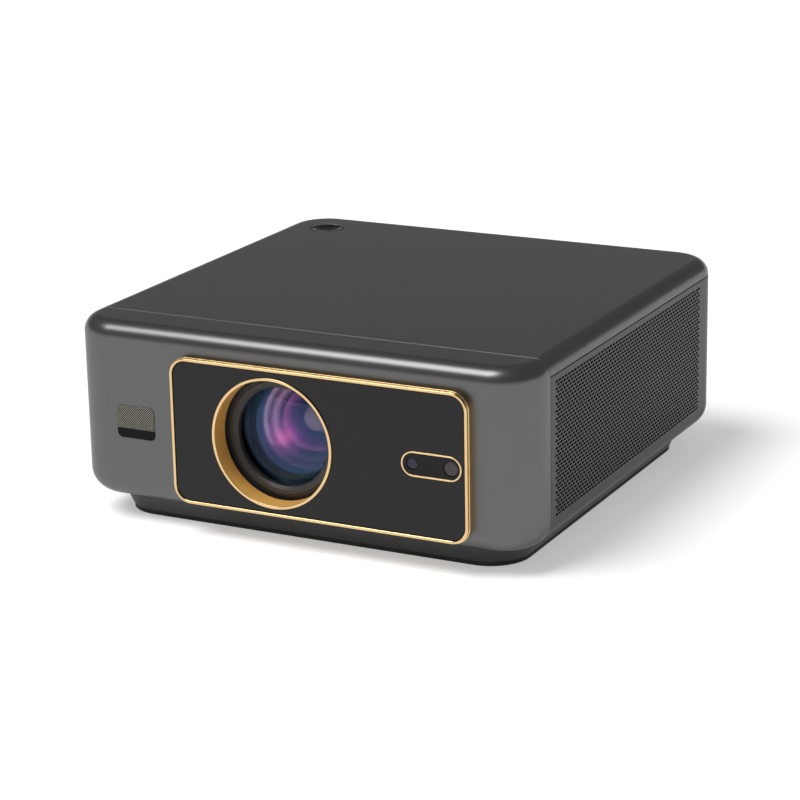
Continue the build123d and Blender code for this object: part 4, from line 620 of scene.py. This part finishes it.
# ---------------------------------------------------------------- perforated sides
def grille_face():
    """One face of the perforated sheet: its points, and the faces round every slot.

    Slots are two half cells high and four long, and every other row is shifted by half a slot.
    """
    index, points, faces = {}, [], []

    def place(u, v):
        key = (round(u, 4), round(v, 4))
        if key not in index:
            index[key] = len(points)
            points.append((u * GRILLE_UNIT, v * GRILLE_UNIT))
        return index[key]

    rim = [(-2, -1), (0, -1), (2, -1), (2, 0), (2, 1), (0, 1), (-2, 1), (-2, 0)]
    reach_u = GRILLE_SLOT_LENGTH / 2 / GRILLE_UNIT
    reach_v = GRILLE_SLOT_HEIGHT / 2 / GRILLE_UNIT
    slot = []
    for a, b in rim:
        share = GRILLE_SLOT_CORNER if a and b else 1
        slot.append((a / 2 * reach_u * share, b * reach_v * share))
    for row in range(GRILLE_ROWS):
        v = 2 * row + 1
        shift = 2 * (row % 2)
        reach = GRILLE_HALF_LENGTH - shift
        for u in range(2 - reach, reach, 4):
            outer = [place(u + a, v + b) for a, b in rim]
            inner = [place(u + a, v + b) for a, b in slot]
            for i in range(len(rim)):
                j = (i + 1) % len(rim)
                faces.append((outer[i], outer[j], inner[j], inner[i]))
        if shift:
            for end in (-1, 1):
                a, b = end * reach, end * GRILLE_HALF_LENGTH
                faces.append([place(a, v - 1), place(b, v - 1), place(b, v + 1), place(a, v + 1),
                              place(a, v)])
    return points, faces


def perforated_side(name, side, sheet):
    """Sheet with staggered short slots, flush with the side of the cabinet, in the darker side paint, whose
    extra darkness is painted shade, with bores painted black as shade.
    """
    points, flat = sheet
    count = len(points)
    edges = {}
    for corners in flat:
        for a, b in zip(corners, [*corners[1:], corners[0]]):
            edges.setdefault(frozenset((a, b)), []).append((a, b))
    outer = [(side * X_SIDE, Y_MIDDLE + u, grille_bottom + v) for u, v in points]
    inner = [(side * (X_SIDE - GRILLE_THICKNESS), y, z) for _, y, z in outer]
    faces = [list(corners) for corners in flat]
    faces += [[c + count for c in reversed(corners)] for corners in flat]
    faces += [[a, b, b + count, a + count] for uses in edges.values() if len(uses) == 1 for a, b in uses]
    mesh = bpy.data.meshes.new(name)
    mesh.from_pydata(outer + inner, [], faces)
    bm = bmesh.new()
    bm.from_mesh(mesh)
    piece = dress(make_object(name, bm), "grille_paint")
    # The bores and the sheet's back are painted black as shade, so that the slots read dark.
    second_material(piece, MATERIALS["bore_black"],
                    lambda face: abs(face.normal.x) <= 0.5 or face.center.x * side <= X_SIDE - FIT)


sheet_face = grille_face()
perforated_side("grille_left", -1, sheet_face)
perforated_side("grille_right", 1, sheet_face)

# ---------------------------------------------------------------- gold frame and black glass
y_land, y_step = bezel_low.y, bezel_low.y + BEZEL_STEP_DEPTH
pocket = BEZEL_STEP + BEZEL_LAND
groove = BEZEL_STEP + BEZEL_GROOVE
profile = [(0, Y_FRONT), (0, y_step + EDGE_ROUND)]
profile += arc((EDGE_ROUND, y_step + EDGE_ROUND), EDGE_ROUND, 180, 270, 3)
profile += [(groove, y_step), (groove, y_step - BEZEL_GROOVE), (BEZEL_STEP, y_step - BEZEL_GROOVE)]
profile += arc((BEZEL_STEP + BEZEL_ROUND, y_land + BEZEL_ROUND), BEZEL_ROUND, 180, 270, 8)
profile += arc((pocket - BEZEL_ROUND, y_land + BEZEL_ROUND), BEZEL_ROUND, 270, 360, 8)
profile += [(pocket, glass_high.y), (pocket + GLASS_LEDGE, glass_high.y),
            (pocket + GLASS_LEDGE, bezel_high.y), (BEZEL_SPIGOT_INSET, bezel_high.y),
            (BEZEL_SPIGOT_INSET, Y_FRONT)]
bezel = loft("bezel", framed(profile, bezel_width, bezel_height, BEZEL_RADIUS, bezel_x, bezel_z), True)
dress(smooth(bezel), "gold", stands_for=["bezel_frame"])

glass_radius = BEZEL_RADIUS - (bezel_width - glass_width) / 2
profile = [(GLASS_CHAMFER, glass_low.y), (0, glass_low.y + GLASS_CHAMFER), (0, glass_high.y)]
glass = loft("window_glass", framed(profile, glass_width, glass_height, glass_radius, bezel_x, bezel_z))
trim_radius = trim_high.x - AXIS_X - TRIM_FLANGE
through = glass_low.y - WALL, glass_high.y + WALL
bore = turned([(trim_radius + FIT / 2, y) for y in through], AXIS_X, AXIS_Z, 160)
slot = framed([(-FIT / 2, y) for y in through], pill_width, pill_height, pill_height / 2, pill_x, pill_z)
combine(glass, [(bore, False), (slot, False)], "DIFFERENCE")
dress(smooth(glass), "black_glass", stands_for=["front_glass"])

# ---------------------------------------------------------------- sensors
y_round = pill_low.y + SENSOR_ROUND
profile = [(0, pill_high.y)] + arc((SENSOR_ROUND, y_round), SENSOR_ROUND, 180, 270, 3)
profile += arc((SENSOR_TRIM - SENSOR_ROUND, y_round), SENSOR_ROUND, 270, 360, 3)
profile += [(SENSOR_TRIM, pill_high.y)]
pill = loft("sensor_trim", framed(profile, pill_width, pill_height, pill_height / 2, pill_x, pill_z), True)
dress(smooth(pill), "gold", stands_for=["sensor_trim_ring"])


def sensor_eye(name, node, colour):
    """Sensor nose with a shallow tinted window set in a thin dark rim."""
    low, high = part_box(node)
    x, z, width, _ = seen_from_front(low, high)
    radius = width / 2
    pupil = radius - EYE_RIM
    y_edge, y_window = low.y + SENSOR_ROUND, low.y + EYE_DEPTH
    shares = [i / EYE_STEPS for i in range(EYE_STEPS + 1)]
    profile = [(pupil * share, y_window + EYE_DISH * (1 - share ** 2)) for share in shares]
    profile += [(pupil, y_edge)] + arc((radius - SENSOR_ROUND, y_edge), SENSOR_ROUND, 270, 360, 3)
    profile += [(radius, high.y), (0, high.y)]
    piece = loft(name, turned(profile, x, z, 96))
    dress(smooth(piece), "sensor_dark", stands_for=[node])
    window = finish(name + "_window", colour, 0.12, grain=0.4 * MM, relief=0.0005 * MM, tint=0.15,
                    spread=0.03, IOR=1.4)
    second_material(piece, window, lambda face: off_axis(face, x, z) < pupil
                    and low.y + EYE_DEPTH / 2 < face.center.y < y_window + EYE_DISH * 1.01)


sensor_eye("camera_eye", "focus_camera", (0.030, 0.026, 0.060))
sensor_eye("ranger_eye", "distance_sensor", (0.070, 0.055, 0.060))

# ---------------------------------------------------------------- lens trim and barrel
bore_radius = trim_radius - TRIM_LAND
flange_radius = trim_high.x - AXIS_X
y_round, y_flange = trim_low.y + EDGE_ROUND, glass_high.y
profile = [(bore_radius, trim_high.y), (bore_radius, y_round)]
profile += arc((bore_radius + EDGE_ROUND, y_round), EDGE_ROUND, 180, 270)
profile += arc((trim_radius - EDGE_ROUND, y_round), EDGE_ROUND, 270, 360)
profile += [(trim_radius, y_flange), (flange_radius, y_flange),
            (flange_radius, y_flange + TRIM_FLANGE_DEPTH), (trim_radius, y_flange + TRIM_FLANGE_DEPTH),
            (trim_radius, trim_high.y)]
lens_trim = loft("lens_trim", turned(profile, AXIS_X, AXIS_Z, 192), True)
dress(smooth(lens_trim), "gold", stands_for=["lens_trim_ring"])
second_material(lens_trim, MATERIALS["gold_satin"], lambda face: face.center.y > y_round
                and off_axis(face, AXIS_X, AXIS_Z) < bore_radius + TRIM_SLACK)

lip = (barrel_high.x - barrel_low.x) / 2 - BARREL_RIM
barrel_radius = lip + BARREL_RIM
y_lip = barrel_low.y
y_seat = lens_low.y + (LENS_CURVE - math.sqrt(LENS_CURVE ** 2 - SEAT_RADIUS ** 2))
profile = [(BARREL_APERTURE + SEAT_WIDTH, y_seat - SEAT_END), (BARREL_APERTURE, y_seat - SEAT_START)]
profile += [(BARREL_APERTURE + out, y_lip + back) for out, back in BARREL_LIP]
profile += arc((lip - BARREL_ROUND, y_lip + BARREL_ROUND), BARREL_ROUND, 270, 360, 3)
profile += [(lip, y_lip + BARREL_RIM_DEPTH), (barrel_radius, y_lip + BARREL_RIM_DEPTH),
            (barrel_radius, barrel_high.y), (BARREL_TUBE, barrel_high.y),
            (BARREL_TUBE, y_lip + NECK_END), (BARREL_NECK, y_lip + NECK_END),
            (BARREL_NECK, y_lip + NECK_START), (BARREL_TUBE, y_lip + NECK_START),
            (BARREL_TUBE, y_lip + SHOULDER), (BARREL_BORE, y_lip + SHOULDER)]
y_baffles = y_lip + BAFFLES_END
pitch = (y_baffles - (y_seat + LENS_EDGE + BAFFLE_GAP)) / BAFFLES
crest, foot = BAFFLE_EDGES
for i in range(BAFFLES):
    y = y_baffles - i * pitch
    profile += [(BARREL_BORE, y), (BAFFLE_RADIUS, y - crest * pitch), (BARREL_BORE, y - foot * pitch)]
profile += [(BARREL_BORE, y_seat - SEAT_END)]
barrel = loft("barrel", turned(profile, AXIS_X, AXIS_Z, 192), True)
dress(smooth(barrel), "barrel_black", "lens_barrel", ["lens_barrel"])
second_material(barrel, MATERIALS["baffle_black"], lambda face: face.center.y > y_seat - SEAT_SLACK
                and off_axis(face, AXIS_X, AXIS_Z) < BARREL_BORE + BORE_SLACK)

# ---------------------------------------------------------------- lenses
# Colours of the lenses' sheen, from the lens's middle (0) to its edge (1): the coatings' tint with painted
# reflections.
# The pink glow in the front lens's middle, the middle lens's pale middle and its bright pink-white rings are
# painted reflections.
COATING_AND_REFLECTION_COLOURS = {
    "front": [(0.0, (0.98, 0.16, 0.55)), (0.08, (0.85, 0.13, 0.50)), (0.20, (0.26, 0.06, 0.30)),
              (0.42, (0.04, 0.03, 0.12)), (0.80, (0.01, 0.04, 0.08)), (1.0, (0.005, 0.01, 0.03))],
    "middle": [(0.0, (0.62, 0.48, 0.45)), (0.20, (0.52, 0.38, 0.40)), (0.25, (0.02, 0.02, 0.06)),
               (0.42, (0.14, 0.03, 0.20)), (0.54, (0.70, 0.20, 0.50)), (0.60, (0.08, 0.03, 0.14)),
               (0.70, (0.95, 0.55, 0.72)), (0.78, (0.30, 0.10, 0.26)), (0.86, (0.95, 0.75, 0.85)),
               (0.91, (0.05, 0.06, 0.13)), (1.0, (0.02, 0.03, 0.08))],
    "rear": [(0.0, (0.60, 0.30, 0.25)), (0.5, (0.25, 0.10, 0.30)), (1.0, (0.02, 0.04, 0.12))],
}
COATING_CLOUD = 6 * MM
COATING_SPREAD = 0.2
FRONT_COVER = 0.24


def coating_with_painted_reflections(name, stops, reach, roughness, cover=1.0):
    """Coated glass: a coloured sheen that changes from the middle of the lens to its edge, the coating's
    tint with painted reflections in its glows and bright rings.

    Cover is the share of the light that the coating sends back, where the rest goes through.
    """
    material = bpy.data.materials.new(name)
    tree = nodes_of(material)
    place = add(tree, "ShaderNodeSeparateXYZ", Vector=add(tree, "ShaderNodeTexCoord").outputs["Object"])
    square = [maths(tree, "POWER", maths(tree, "SUBTRACT", place.outputs[axis], middle), 2.0)
              for axis, middle in (("X", AXIS_X), ("Z", AXIS_Z))]
    radial = maths(tree, "DIVIDE", maths(tree, "SQRT", maths(tree, "ADD", *square)), reach)
    ramp = tree.nodes.new("ShaderNodeValToRGB")
    for i, (position, colour) in enumerate(stops):
        stop = ramp.color_ramp.elements[i] if i < 2 else ramp.color_ramp.elements.new(position)
        stop.position = position
        stop.color = (*colour, 1)
    tree.links.new(radial, ramp.inputs[0])
    cloud = between(tree, noise(tree, COATING_CLOUD), roughness * (1 - COATING_SPREAD),
                    roughness * (1 + COATING_SPREAD))
    sheen = add(tree, "ShaderNodeBsdfPrincipled", Base_Color=ramp.outputs[0], Roughness=cloud,
                Metallic=1.0)
    surface = sheen.outputs[0]
    if cover < 1:
        clear = add(tree, "ShaderNodeBsdfPrincipled", Base_Color=(*LENS_TINT, 1), Roughness=cloud,
                    **COATED)
        surface = add(tree, "ShaderNodeMixShader", _0=cover, _1=clear.outputs[0], _2=surface).outputs[0]
    add(tree, "ShaderNodeOutputMaterial", Surface=surface)
    return material


def dome(y_pole, curve, reach, order):
    """Points of a curved face from its pole. A negative curve bulges back."""
    points = []
    for i in order:
        r = reach * i / LENS_STEPS
        drop = abs(curve) - math.sqrt(curve ** 2 - r ** 2)
        points.append((r, y_pole + math.copysign(drop, curve)))
    return points


def element(name, node, curves, coat, roughness):
    """Round lens. Its back bulges, and so does its front if the first curve is positive."""
    low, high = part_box(node)
    reach = (high.x - low.x) / 2
    front, back = curves
    sag = abs(front) - math.sqrt(front ** 2 - reach ** 2)
    y_front = low.y if front > 0 else low.y + sag
    profile = dome(y_front, front, reach, range(LENS_STEPS + 1))
    profile += dome(high.y, -back, reach, range(LENS_STEPS, -1, -1))
    piece = smooth(loft(name, turned(profile, AXIS_X, AXIS_Z)), 50)
    dress(piece, "lens_glass", "lens_barrel", [node])
    piece.data.materials[0] = coating_with_painted_reflections(coat + "_coating", COATING_AND_REFLECTION_COLOURS[coat], reach, roughness)


lens_radius = (lens_high.x - lens_low.x) / 2
profile = dome(lens_low.y, LENS_CURVE, lens_radius, range(LENS_STEPS + 1))
profile += [(lens_radius, lens_high.y), (0, lens_high.y)]
front_element = loft("front_element", turned(profile, AXIS_X, AXIS_Z))
dress(smooth(front_element), "lens_glass", "lens_barrel", ["front_lens"])
# The front lens's sheen, with a painted reflection: the pink glow in its middle.
front_element.data.materials[0] = coating_with_painted_reflections("front_coating", COATING_AND_REFLECTION_COLOURS["front"], lens_radius, 0.03,
                                          FRONT_COVER)
# The middle lens's pale middle and bright rings are painted reflections.
element("middle_element", "middle_lens", MIDDLE_CURVES, "middle", 0.12)
element("rear_element", "rear_lens", REAR_CURVES, "rear", 0.06)

# ---------------------------------------------------------------- badge
profile = [(0, badge_high.y), (0, badge_low.y + BADGE_ROUND)]
profile += arc((BADGE_ROUND, badge_low.y + BADGE_ROUND), BADGE_ROUND, 180, 270, 4)
badge = loft("badge", framed(profile, badge_width, badge_height, BADGE_RADIUS, badge_x, badge_z))
dress(smooth(badge), "badge_black", stands_for=["badge_plate"])


# Height of the hatch's sine wave from which it prints a line: a third of the pitch.
HATCH_FROM = 0.5


def hatched(name, line, ground, pitch, z_band):
    """Printed plate: fine slanting lines above z_band, plain gloss below."""
    material = bpy.data.materials.new(name)
    tree = nodes_of(material)
    place = add(tree, "ShaderNodeSeparateXYZ", Vector=add(tree, "ShaderNodeTexCoord").outputs["Object"])
    across = maths(tree, "SUBTRACT", place.outputs["X"], place.outputs["Z"])
    wave = maths(tree, "SINE", maths(tree, "MULTIPLY", across, 2 * math.pi / (pitch * math.sqrt(2))))
    lines = maths(tree, "GREATER_THAN", wave, HATCH_FROM)
    lines = maths(tree, "MULTIPLY", lines, maths(tree, "GREATER_THAN", place.outputs["Z"], z_band))
    spread = maths(tree, "MULTIPLY_ADD", lines, NOISE_HIGH - NOISE_LOW, NOISE_LOW)
    shade = colour_between(tree, spread, ground, line)
    gloss = between(tree, noise(tree, 1 * MM), 0.12, 0.2)
    shader = add(tree, "ShaderNodeBsdfPrincipled", Base_Color=shade, Roughness=gloss, IOR=1.22)
    add(tree, "ShaderNodeOutputMaterial", Surface=shader.outputs[0])
    return material


badge.data.materials[0] = hatched("badge_print", (0.50, 0.48, 0.40), (0.002, 0.002, 0.003), BADGE_HATCH,
                                  badge_low.z + BADGE_BAND * badge_height)

# ---------------------------------------------------------------- power button
rim = button_radius - BUTTON_RIM
z_skirt, z_flange = button_high.z - SKIRT_DEPTH, button_high.z - FLANGE_DEPTH
shares = [i / DISH_STEPS for i in range(DISH_STEPS + 1)]
profile = [(rim * share, button_high.z - BUTTON_DISH * (1 - share ** 2)) for share in shares]
profile += arc((button_radius - BUTTON_ROUND, button_high.z - BUTTON_ROUND), BUTTON_ROUND, 90, 0, 3)
profile += [(button_radius, z_skirt), (button_radius + GUIDE_WALL, z_skirt),
            (button_radius + GUIDE_WALL, z_flange), (PLUNGER_RADIUS, z_flange),
            (PLUNGER_RADIUS, button_low.z), (0, button_low.z)]
dished_button = loft("dished_button", upright(profile, button_x, button_y, BUTTON_STEPS))
dress(smooth(dished_button), "button_gloss", "power_button", ["power_button"])


# ---------------------------------------------------------------- rear sockets
def sockets(name, node, width, tongue, contacts):
    """A pair of plated socket sleeves, each with a dark back, a tongue and its contacts."""
    low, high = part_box(node)
    _, z, _, height = seen_from_front(low, high)
    z_low, z_high = z - tongue / 2, z + tongue / 2
    y_back, y_tip = low.y + SOCKET_WALL, high.y - TONGUE_SETBACK
    half = TONGUE_SHARE * width
    pitch = 2 * half / contacts
    sleeve = [(0, low.y), (0, high.y - EDGE_ROUND), (EDGE_ROUND / 2, high.y),
              (SOCKET_WALL, high.y), (SOCKET_WALL, low.y + 2 * SOCKET_WALL)]
    bm = bmesh.new()
    dark = []
    for x in (low.x + width / 2, high.x - width / 2):
        add_loops(bm, framed(sleeve, width, height, SOCKET_CORNER, x, z))
        dark.append(len(bm.faces) - 1)
        count = len(bm.faces)
        add_loops(bm, block((x - half, y_back, z_low), (x + half, y_tip, z_high)))
        dark += range(count, len(bm.faces))
        for i in range(contacts):
            middle = x - half + (i + 0.5) * pitch
            add_loops(bm, block((middle - CONTACT_SHARE * pitch, y_back, z_low - CONTACT_RISE),
                                (middle + CONTACT_SHARE * pitch, y_tip - CONTACT_SETBACK, z_low)))
    piece = make_object(name, bm)
    dress(smooth(piece), "socket_steel", stands_for=[node])
    second_material(piece, MATERIALS["socket_black"], lambda face: face.index in dark)


sockets("hdmi_sleeves", "hdmi_sockets", HDMI_WIDTH, HDMI_TONGUE, HDMI_CONTACTS)
sockets("usb_sleeves", "usb_sockets", USB_WIDTH, USB_TONGUE, USB_CONTACTS)

y_front, y_ring = jack_high.y - JACK_DEPTH, jack_high.y + JACK_RISE
profile = [(JACK_BORE, y_front), (JACK_BORE, y_ring), (JACK_RING - JACK_RISE, y_ring),
           (JACK_RING, jack_high.y), (JACK_RING, y_front)]
rings = bmesh.new()
for x in (jack_low.x + JACK_WIDTH / 2, jack_high.x - JACK_WIDTH / 2):
    add_loops(rings, turned(profile, x, (jack_low.z + jack_high.z) / 2, 64), True)
dress(smooth(make_object("jack_rings", rings)), "insert_brass")

# ---------------------------------------------------------------- edges of the carried-over nodes
NODE_SHARP_FROM = 30

for part in frame["record"]["subparts"]:
    node = frame["nodes"][part["node"]]
    if node.hide_render:
        continue
    node.data.shade_smooth()
    node.data.set_sharp_from_angle(angle=math.radians(NODE_SHARP_FROM))

# ---------------------------------------------------------------- studio
ROOM_LIGHT = 0.18
KEY_TOWARDS, KEY_STRENGTH, KEY_ANGLE = (-0.31, -0.38, 0.87), 2.0, 33
FLOOR_GLOW = 0.40
FLOOR_WHITE = 0.96, 0.98
SWEEP_RADIUS, SWEEP_CURVE, SWEEP_HEIGHT, SWEEP_THICKNESS = 9.0, 1.2, 1.4, 0.02
SWEEP_STEPS = 12


def world_light(level):
    """Even grey room light, the same for every kind of ray."""
    world = bpy.data.worlds.new("studio")
    bpy.context.scene.world = world
    world.use_nodes = True
    tree = world.node_tree
    tree.nodes.clear()
    shade = add(tree, "ShaderNodeBackground", Color=(1, 1, 1, 1), Strength=level)
    add(tree, "ShaderNodeOutputWorld", Surface=shade.outputs[0])


def sun(name, towards, strength, angle):
    """Broad soft lamp far away, in the direction given from the object."""
    data = bpy.data.lights.new(name, "SUN")
    data.energy = strength
    data.angle = math.radians(angle)
    lamp = bpy.data.objects.new(name, data)
    lamp.rotation_mode = "QUATERNION"
    lamp.rotation_quaternion = Vector(towards).to_track_quat("Z", "Y")
    bpy.context.scene.collection.objects.link(lamp)


def paper():
    """Pale paper with a glow that camera, glossy and transmission rays all see."""
    material = bpy.data.materials.new("paper")
    tree = nodes_of(material)
    rays = add(tree, "ShaderNodeLightPath")
    grain = between(tree, noise(tree, 3 * MM), *FLOOR_WHITE)
    tone = add(tree, "ShaderNodeCombineColor", Red=grain, Green=grain, Blue=grain)
    seen = maths(tree, "MAXIMUM", rays.outputs["Is Camera Ray"], rays.outputs["Is Glossy Ray"])
    seen = maths(tree, "MAXIMUM", seen, rays.outputs["Is Transmission Ray"])
    diffuse = add(tree, "ShaderNodeBsdfDiffuse", Color=tone.outputs[0])
    glow = add(tree, "ShaderNodeEmission", Color=(1, 1, 1, 1),
               Strength=maths(tree, "MULTIPLY", seen, FLOOR_GLOW))
    both = add(tree, "ShaderNodeAddShader", _0=diffuse.outputs[0], _1=glow.outputs[0])
    add(tree, "ShaderNodeOutputMaterial", Surface=both.outputs[0])
    return material


world_light(ROOM_LIGHT)

# A paper sweep: flat under the object, curving up to a low wall far away on every side.
sweep = [(SWEEP_RADIUS * i / SWEEP_STEPS, 0.0) for i in range(SWEEP_STEPS + 1)]
sweep += arc((SWEEP_RADIUS, SWEEP_CURVE), SWEEP_CURVE, -90, 0, SWEEP_STEPS)[1:]
sweep.append((SWEEP_RADIUS + SWEEP_CURVE, SWEEP_HEIGHT))
under = [(r + SWEEP_THICKNESS, z - SWEEP_THICKNESS) for r, z in reversed(sweep)]
floor = loft("floor", upright([(max(r, MM), z) for r, z in sweep + under], 0, 0, 96))
floor.data.materials.append(paper())

sun("key_lamp", KEY_TOWARDS, KEY_STRENGTH, KEY_ANGLE)

# ---------------------------------------------------------------- camera
CAMERA_PLACE = (575.7 * MM, -1124.55 * MM, 424.5 * MM)
CAMERA_LOOK = (-0.4379, 0.8505, -0.2914)
CAMERA_ROLL = -1.10
CAMERA_LENS = 118.72

camera_data = bpy.data.cameras.new("camera")
camera_data.sensor_width = 36.0
camera_data.lens = CAMERA_LENS
camera_data.clip_start = 0.05
camera_data.clip_end = 60.0
camera = bpy.data.objects.new("camera", camera_data)
camera.location = CAMERA_PLACE
turn = Vector(CAMERA_LOOK).to_track_quat("-Z", "Y").to_euler()
turn.rotate_axis("Z", math.radians(CAMERA_ROLL))
camera.rotation_euler = turn
bpy.context.scene.collection.objects.link(camera)
bpy.context.scene.camera = camera
bpy.context.scene.view_settings.view_transform = "Standard"
